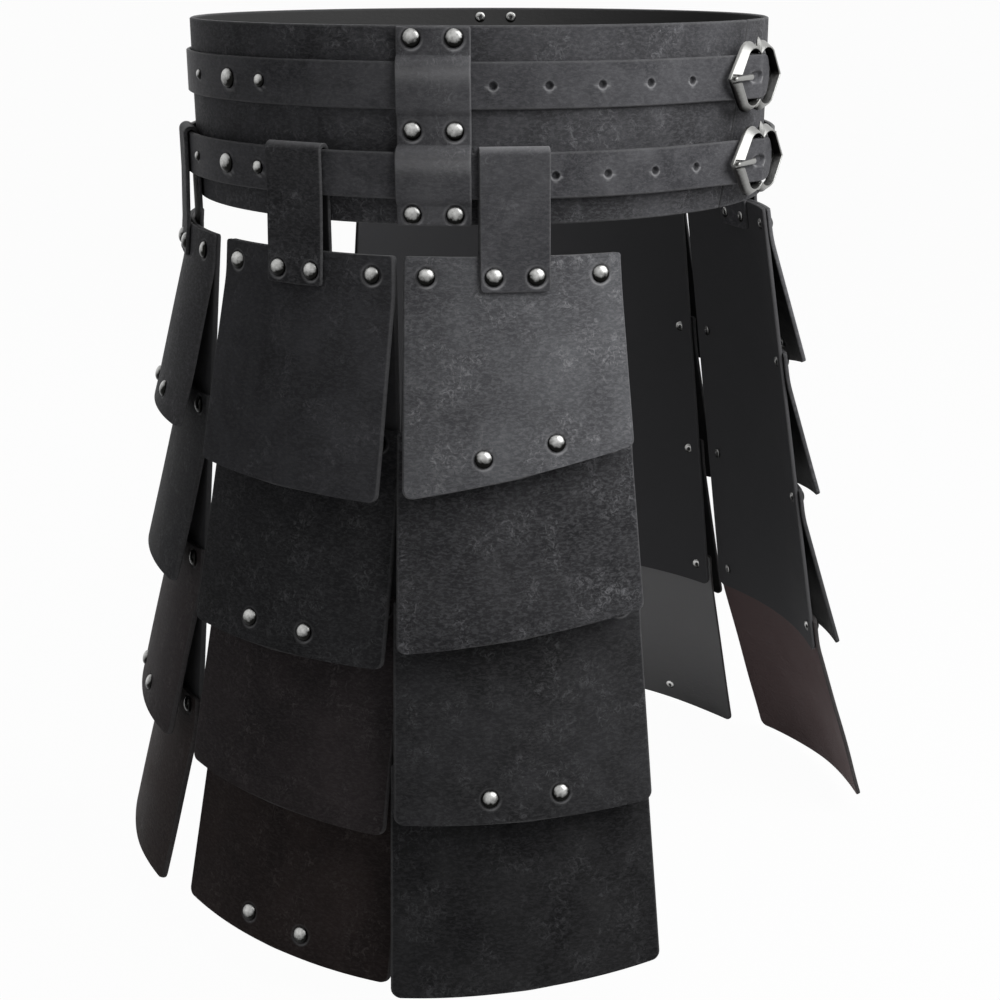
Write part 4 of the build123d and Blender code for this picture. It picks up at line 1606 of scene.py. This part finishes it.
@dataclass
class Tasset:
    """One tasset: hanger strap, backing, four lames and rivets."""

    palette: Palette
    name: str
    turn: float
    slope: float
    cut: Cut
    seed: int
    foot_extra: float = 0.0
    foot_finish: Finish = Finish.FOURTH
    leather: float = 3.0
    pitch: float = 103.0
    land: float = 22.0
    flare: float = 8.8
    top_halves: tuple[float, ...] = (63.0, 69.5, 74.5, 79.0)
    bottom_halves: tuple[float, ...] = (68.5, 74.5, 79.0, 84.0)
    hem: float = 13.0
    rivet_drop: float = 11.5
    hidden_rivet_drop: float = 8.0
    rivet_inset: float = 12.0
    stud_spacing: float = 43.0
    stud_rise: float = 15.0
    strap_rivet_spacing: float = 24.8
    strap_lap: float = 20.0
    strap_rise: float = 1.0
    strap_corner: float = 2.0
    strap_step: float = 2.0
    strap_fine: float = 0.8
    strap_reach: tuple[float, float] = (8.0, 7.0)
    strap_bulge: float = 0.7
    strap_bend: float = 20.0
    belt_edge_bend: float = 12.0
    bend_above: float = 3.0
    bend_below: float = 16.0
    fold_drop: float = 0.6
    fold_highlight: float = 0.6

    @property
    def body(self) -> str:
        """The moving body of this tasset."""
        return f"{self.name}_tasset"

    def on_slope(self, down: float, out: float) -> np.ndarray:
        """Radius and height down the backing and out from it."""
        lean = math.radians(self.slope)
        return np.array([
            PLAN.inner_leg_back + down * math.sin(lean) + out * math.cos(lean),
            PLAN.tasset_top - down * math.cos(lean) + out * math.sin(lean)])

    def backing(self) -> TassetSheet:
        """The full sheet behind the lames."""
        radius, height = self.on_slope(0, 0)
        length = 3 * self.pitch + self.rivet_drop + self.hem
        profile = LeatherProfile(radius, height, length, self.slope)
        return TassetSheet(self.turn, profile, self.leather, self.top_halves[0] - 1,
                           self.top_halves[3] - 1)

    def lame(self, index: int) -> TassetSheet:
        """One lame, cut longer at one side edge than at the other."""
        radius, height = self.on_slope(index * self.pitch, self.leather)
        extra = self.foot_extra if index == 3 else 0.0
        front, back = (edge + extra for edge in self.cut.lengths[index])
        profile = LeatherProfile(radius, height, max(front, back), self.slope, self.flare,
                                 self.land)
        return TassetSheet(self.turn, profile, self.leather, self.top_halves[index],
                           self.bottom_halves[index], wave=0.9, seed=self.seed * 10 + index,
                           edges=(front, back) if self.turn > 0 else (back, front))

    def build(self) -> None:
        """Makes the backing, the lames, their rivets and the strap."""
        rivets = RivetSet()
        backing = self.backing()
        for index in range(4):
            lame = self.lame(index)
            own = RivetSet()
            reach = self.top_halves[index] - self.rivet_inset
            drop = self.hidden_rivet_drop if index else self.rivet_drop
            spots = [(drop, -reach), (drop, reach)]
            if index in self.cut.studded:
                for across in (-self.stud_spacing / 2, self.stud_spacing / 2):
                    spots.append((float(lame.edge_down(across)) - self.stud_rise, across))
            for down, across in spots:
                place, normal = lame.spot(down, across, self.leather)
                if down < self.land:
                    back = backing.spot(index * self.pitch + down, across, 0.0)[0]
                else:
                    back = lame.spot(down, across, 0.0)[0]
                own.add(place - normal * PLAN.cap_sink, normal, back=back)
            outer, inner = lame.grids(spots=spots)
            finish = self.cut.finishes[index]
            if self.foot_extra and index == 3:
                finish = self.foot_finish
            node = f"{self.name}_lame_{index + 1}"
            piece = skin(outer, inner, own).to_object(f"{node}_skin", self.palette[finish])
            settle(piece, self.body, [node])
            rivets.take(own)
        outer, inner = backing.grids(4.0)
        sheet = leather_sheet(outer, inner, PLAN.rim_bulge).to_object(
            f"{self.name}_backing_skin", self.palette[Finish.LINING])
        settle(sheet, self.body, [f"{self.name}_backing"])
        self.build_strap(rivets)
        rivets.build(self.name, self.palette, self.body)

    def build_strap(self, rivets: RivetSet) -> None:
        """Folds the strap over the lower belt and rivets it through the tasset's top.

        Its inner line runs up behind the tasset, round the belt's top edge and down in
        front; a point at the run s and the sideways distance w is the line's point
        moved along the tangent to the waist. The top of the fold gets a painted
        highlight, highlight * upward^2.

        Args:
            rivets: The set that gets the strap's two rivets.
        """
        stack = 2 * self.leather
        front = PLAN.outer_leg_face
        back = PLAN.inner_leg_back
        fold_radius = (front - back) / 2
        fold_z = PLAN.lower_belt_z + PLAN.belt_width / 2 - self.fold_drop
        lower = PLAN.lower_belt_z - PLAN.belt_width / 2
        angle = np.linspace(math.pi, 0, 16)
        fold = np.stack([back + fold_radius * (1 + np.cos(angle)),
                         fold_z + fold_radius * np.sin(angle)], axis=-1)
        up = rounded_line(np.array([self.on_slope(self.strap_lap, 0),
                                    self.on_slope(-self.strap_rise, 0), [back, fold_z]]),
                          [self.strap_bend], self.strap_step)
        down = rounded_line(np.array([[front, fold_z], [front, lower],
                                      self.on_slope(-self.strap_rise, stack),
                                      self.on_slope(self.strap_lap, stack)]),
                            [self.belt_edge_bend, self.strap_bend], self.strap_step)
        line = np.concatenate([up[:-1], fold, down[1:]])
        ends = np.array(PLAN.rim)
        length = arc_length(line)
        run = np.unique(np.concatenate([length, ends, length[-1] - ends]))
        last = length[-1] - self.strap_lap + self.rivet_drop
        run = closer(run, [last], self.strap_reach[0], self.strap_fine)
        line = points_at(line, run)
        # Painted highlight on the top of the fold, where light from above falls
        wear_and_painted_light = self.fold_highlight * np.clip(tangents(line)[:, 0], 0, 1)[:, None] ** 2
        half = (PLAN.strap_width / 2 - corner_cut(run, self.strap_corner)
                - corner_cut(run[-1] - run, self.strap_corner))
        across = [PLAN.strap_width / 2 + side * self.strap_rivet_spacing / 2 for side in (-1, 1)]
        strip = closer(spread(PLAN.strap_width, self.strap_step, PLAN.rim), across,
                       self.strap_reach[1], self.strap_fine)
        strip = strip * 2 / PLAN.strap_width - 1
        across = half[:, None] * strip[None, :]
        outer, inner = (placed(self.turn, side[:, :1], side[:, 1:], across)
                        for side in (raised(line, PLAN.strap_leather), line))
        own = RivetSet()
        lean = math.radians(self.slope)
        normal = placed(self.turn, math.cos(lean), math.sin(lean))
        radius, height = self.on_slope(self.rivet_drop, stack + PLAN.strap_leather)
        behind, behind_z = self.on_slope(self.rivet_drop, -PLAN.strap_leather)
        for side in (-self.strap_rivet_spacing / 2, self.strap_rivet_spacing / 2):
            own.add(placed(self.turn, radius, height, side) - normal * PLAN.cap_sink, normal,
                    back=placed(self.turn, behind, behind_z, side))
        piece = skin(outer, inner, own, self.strap_bulge, wear_and_painted_light=wear_and_painted_light).to_object(
            f"{self.name}_strap_skin", self.palette[self.cut.strap])
        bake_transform(piece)
        settle(piece, None, [f"{self.name}_strap"])
        rivets.take(own)


# The studio


def stand(name: str, data: bpy.types.ID, place: np.ndarray, heading: float, tip: float,
          ) -> bpy.types.Object:
    """Stands a camera or lamp in the studio.

    Args:
        name: Its name.
        data: The camera or lamp.
        place: Where it stands, in metres.
        heading: Its turn about the upright, in radians.
        tip: How far it is tipped up from looking straight down, in radians.

    Returns:
        The new object, linked to the scene.
    """
    thing = bpy.data.objects.new(name, data)
    bpy.context.scene.collection.objects.link(thing)
    thing.matrix_world = (Matrix.Translation(place) @ Matrix.Rotation(heading, 4, "Z")
                          @ Matrix.Rotation(tip, 4, "X"))
    return thing


def seen_by(tree: bpy.types.NodeTree, *kinds: str) -> bpy.types.NodeSocket:
    """1 for rays of the given kinds and 0 for all others: the greatest of their flags."""
    path = add_node(tree, "ShaderNodeLightPath")
    seen = path.outputs[kinds[0]]
    for kind in kinds[1:]:
        seen = add_node(tree, "ShaderNodeMath", {0: seen, 1: path.outputs[kind]},
                        operation="MAXIMUM").outputs[0]
    return seen


@dataclass
class Studio:
    """A pale floor, soft lamps and the photograph's viewpoint."""

    camera_turn: float = -57.0
    camera_distance: float = 1178.0
    camera_height: float = 89.8
    pitch: float = 17.7
    swing: float = 1.32
    focal_px: float = 1703.0
    frame_px: float = 1000.0
    centre_px: tuple[float, float] = (521.0, 505.0)
    sensor: float = 36.0
    floor_size: float = 80.0
    floor_glow: float = 0.97
    fill: float = 0.14
    lamp_aim: float = -0.2

    def build_camera(self) -> None:
        """Sets the camera at its turn and distance, tipped down and swung to the right."""
        data = bpy.data.cameras.new("camera")
        data.sensor_width = self.sensor
        data.lens = self.focal_px / self.frame_px * self.sensor
        data.shift_x = -(self.centre_px[0] / self.frame_px - 0.5)
        data.shift_y = self.centre_px[1] / self.frame_px - 0.5
        place = placed(self.camera_turn, self.camera_distance, self.camera_height)
        bpy.context.scene.camera = stand(
            "camera", data, place * MM, math.radians(self.camera_turn - self.swing),
            math.radians(90 - self.pitch))

    def build_floor(self) -> None:
        """A white floor that keeps the object's soft shadow."""
        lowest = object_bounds()[0][2] - MM
        half = self.floor_size / 2
        corners = np.array([[-half, -half], [half, -half], [half, half], [-half, half]])
        points = np.concatenate([corners, np.full((4, 1), lowest)], axis=1) / MM
        material = empty_material("studio_floor_white")
        tree = material.node_tree
        seen = seen_by(tree, "Is Camera Ray", "Is Glossy Ray")
        part = add_node(tree, "ShaderNodeMath", {0: seen, 1: self.floor_glow},
                        operation="MULTIPLY")
        matt = add_node(tree, "ShaderNodeBsdfDiffuse", {"Color": linear("#f4f4f4")})
        glow = add_node(tree, "ShaderNodeEmission", {"Color": linear("#ffffff"), "Strength": 1.0})
        mixed = add_node(tree, "ShaderNodeMixShader",
                         {0: part.outputs[0], 1: matt.outputs["BSDF"],
                          2: glow.outputs["Emission"]})
        add_node(tree, "ShaderNodeOutputMaterial", {"Surface": mixed.outputs["Shader"]})
        floor = Shape(points, np.array([[0, 1, 2, 3]])).to_object("studio_floor", material)
        floor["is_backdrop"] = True

    def build_world(self) -> None:
        """White where the camera and metal see it, and a plain fill elsewhere."""
        world = bpy.data.worlds.new("studio")
        world.use_nodes = True
        tree = world.node_tree
        tree.nodes.clear()
        seen = seen_by(tree, "Is Camera Ray", "Is Transmission Ray", "Is Glossy Ray")
        strength = add_node(tree, "ShaderNodeMapRange",
                            {"Value": seen, "To Min": self.fill, "To Max": 1.0})
        back = add_node(tree, "ShaderNodeBackground",
                        {"Color": linear("#ffffff"), "Strength": strength.outputs["Result"]})
        add_node(tree, "ShaderNodeOutputWorld", {"Surface": back.outputs["Background"]})
        bpy.context.scene.world = world

    def add_lamp(self, name: str, turn: float, distance: float, height: float, size: float,
                 power: float) -> None:
        """Adds a square soft lamp that faces the object's middle.

        Args:
            name: Name of the lamp.
            turn: Its turn from the wearer's front.
            distance: Its distance from the axis in metres.
            height: Its height in metres.
            size: Its side in metres.
            power: Its power in watts.
        """
        data = bpy.data.lights.new(name, "AREA")
        data.shape = "SQUARE"
        data.size = size
        data.energy = power
        place = placed(turn, distance, height)
        aim = UP * self.lamp_aim - place
        stand(name, data, place, math.atan2(aim[1], aim[0]) - math.pi / 2,
              math.pi / 2 + math.atan2(aim[2], math.hypot(aim[0], aim[1])))

    def build(self) -> None:
        """Builds the camera, floor, world and lamps."""
        self.build_camera()
        self.build_floor()
        self.build_world()
        self.add_lamp("key", turn=-2.0, distance=0.85, height=0.5, size=0.9, power=9.5)
        self.add_lamp("far_side", turn=128.0, distance=1.6, height=0.9, size=1.0, power=7.0)
        bpy.context.scene.view_settings.view_transform = "Standard"


# The left tassets whose lowest lame is longer, by how much, and its finish
LEFT_FOOT_EXTRA = 25.0
LONG_FEET = {"left_front": Finish.FOURTH_WARM, "left_side": Finish.FOURTH_GREY}


def main() -> None:
    """Builds the sub-assemblies in order and reports each piece."""
    logging.basicConfig(level=logging.INFO, format="%(name)s: %(message)s")
    palette = Palette()
    WaistBand(palette).build()

    belt_rivets = RivetSet()
    for name, inner, height in (
        ("upper", PLAN.upper_inner, PLAN.upper_belt_z),
        ("lower", PLAN.lower_inner, PLAN.lower_belt_z),
    ):
        belt = Belt(palette, name, inner, height)
        belt_rivets.take(belt.build())
        Buckle(palette, belt).build()
    belt_rivets.build("belt", palette, ROOT)

    keeper_rivets = RivetSet()
    for name, turn in (("right_keeper", -65.0), ("left_keeper", 119.4)):
        Keeper(palette, name, turn).build(keeper_rivets)
    keeper_rivets.build("keeper", palette, ROOT)

    front = PLAN.side_turn - math.degrees(PLAN.front_pitch / PLAN.ring_radius)
    back = PLAN.side_turn + math.degrees(PLAN.back_pitch / PLAN.ring_radius)
    for seed, (name, turn, slope, place) in enumerate((
        ("right_front", -front, 7.1, Place.FRONT),
        ("right_side", -PLAN.side_turn, 4.5, Place.SIDE),
        ("right_back", -back, 6.0, Place.BACK),
        ("left_front", front, 9.0, Place.FRONT),
        ("left_side", PLAN.side_turn, 7.5, Place.SIDE),
        ("left_back", back, 6.0, Place.BACK),
    )):
        tasset = Tasset(palette, name, turn, slope, place.value, seed)
        if name in LONG_FEET:
            tasset.foot_extra, tasset.foot_finish = LEFT_FOOT_EXTRA, LONG_FEET[name]
        tasset.build()

    Studio().build()


if __name__ == "__main__":
    main()
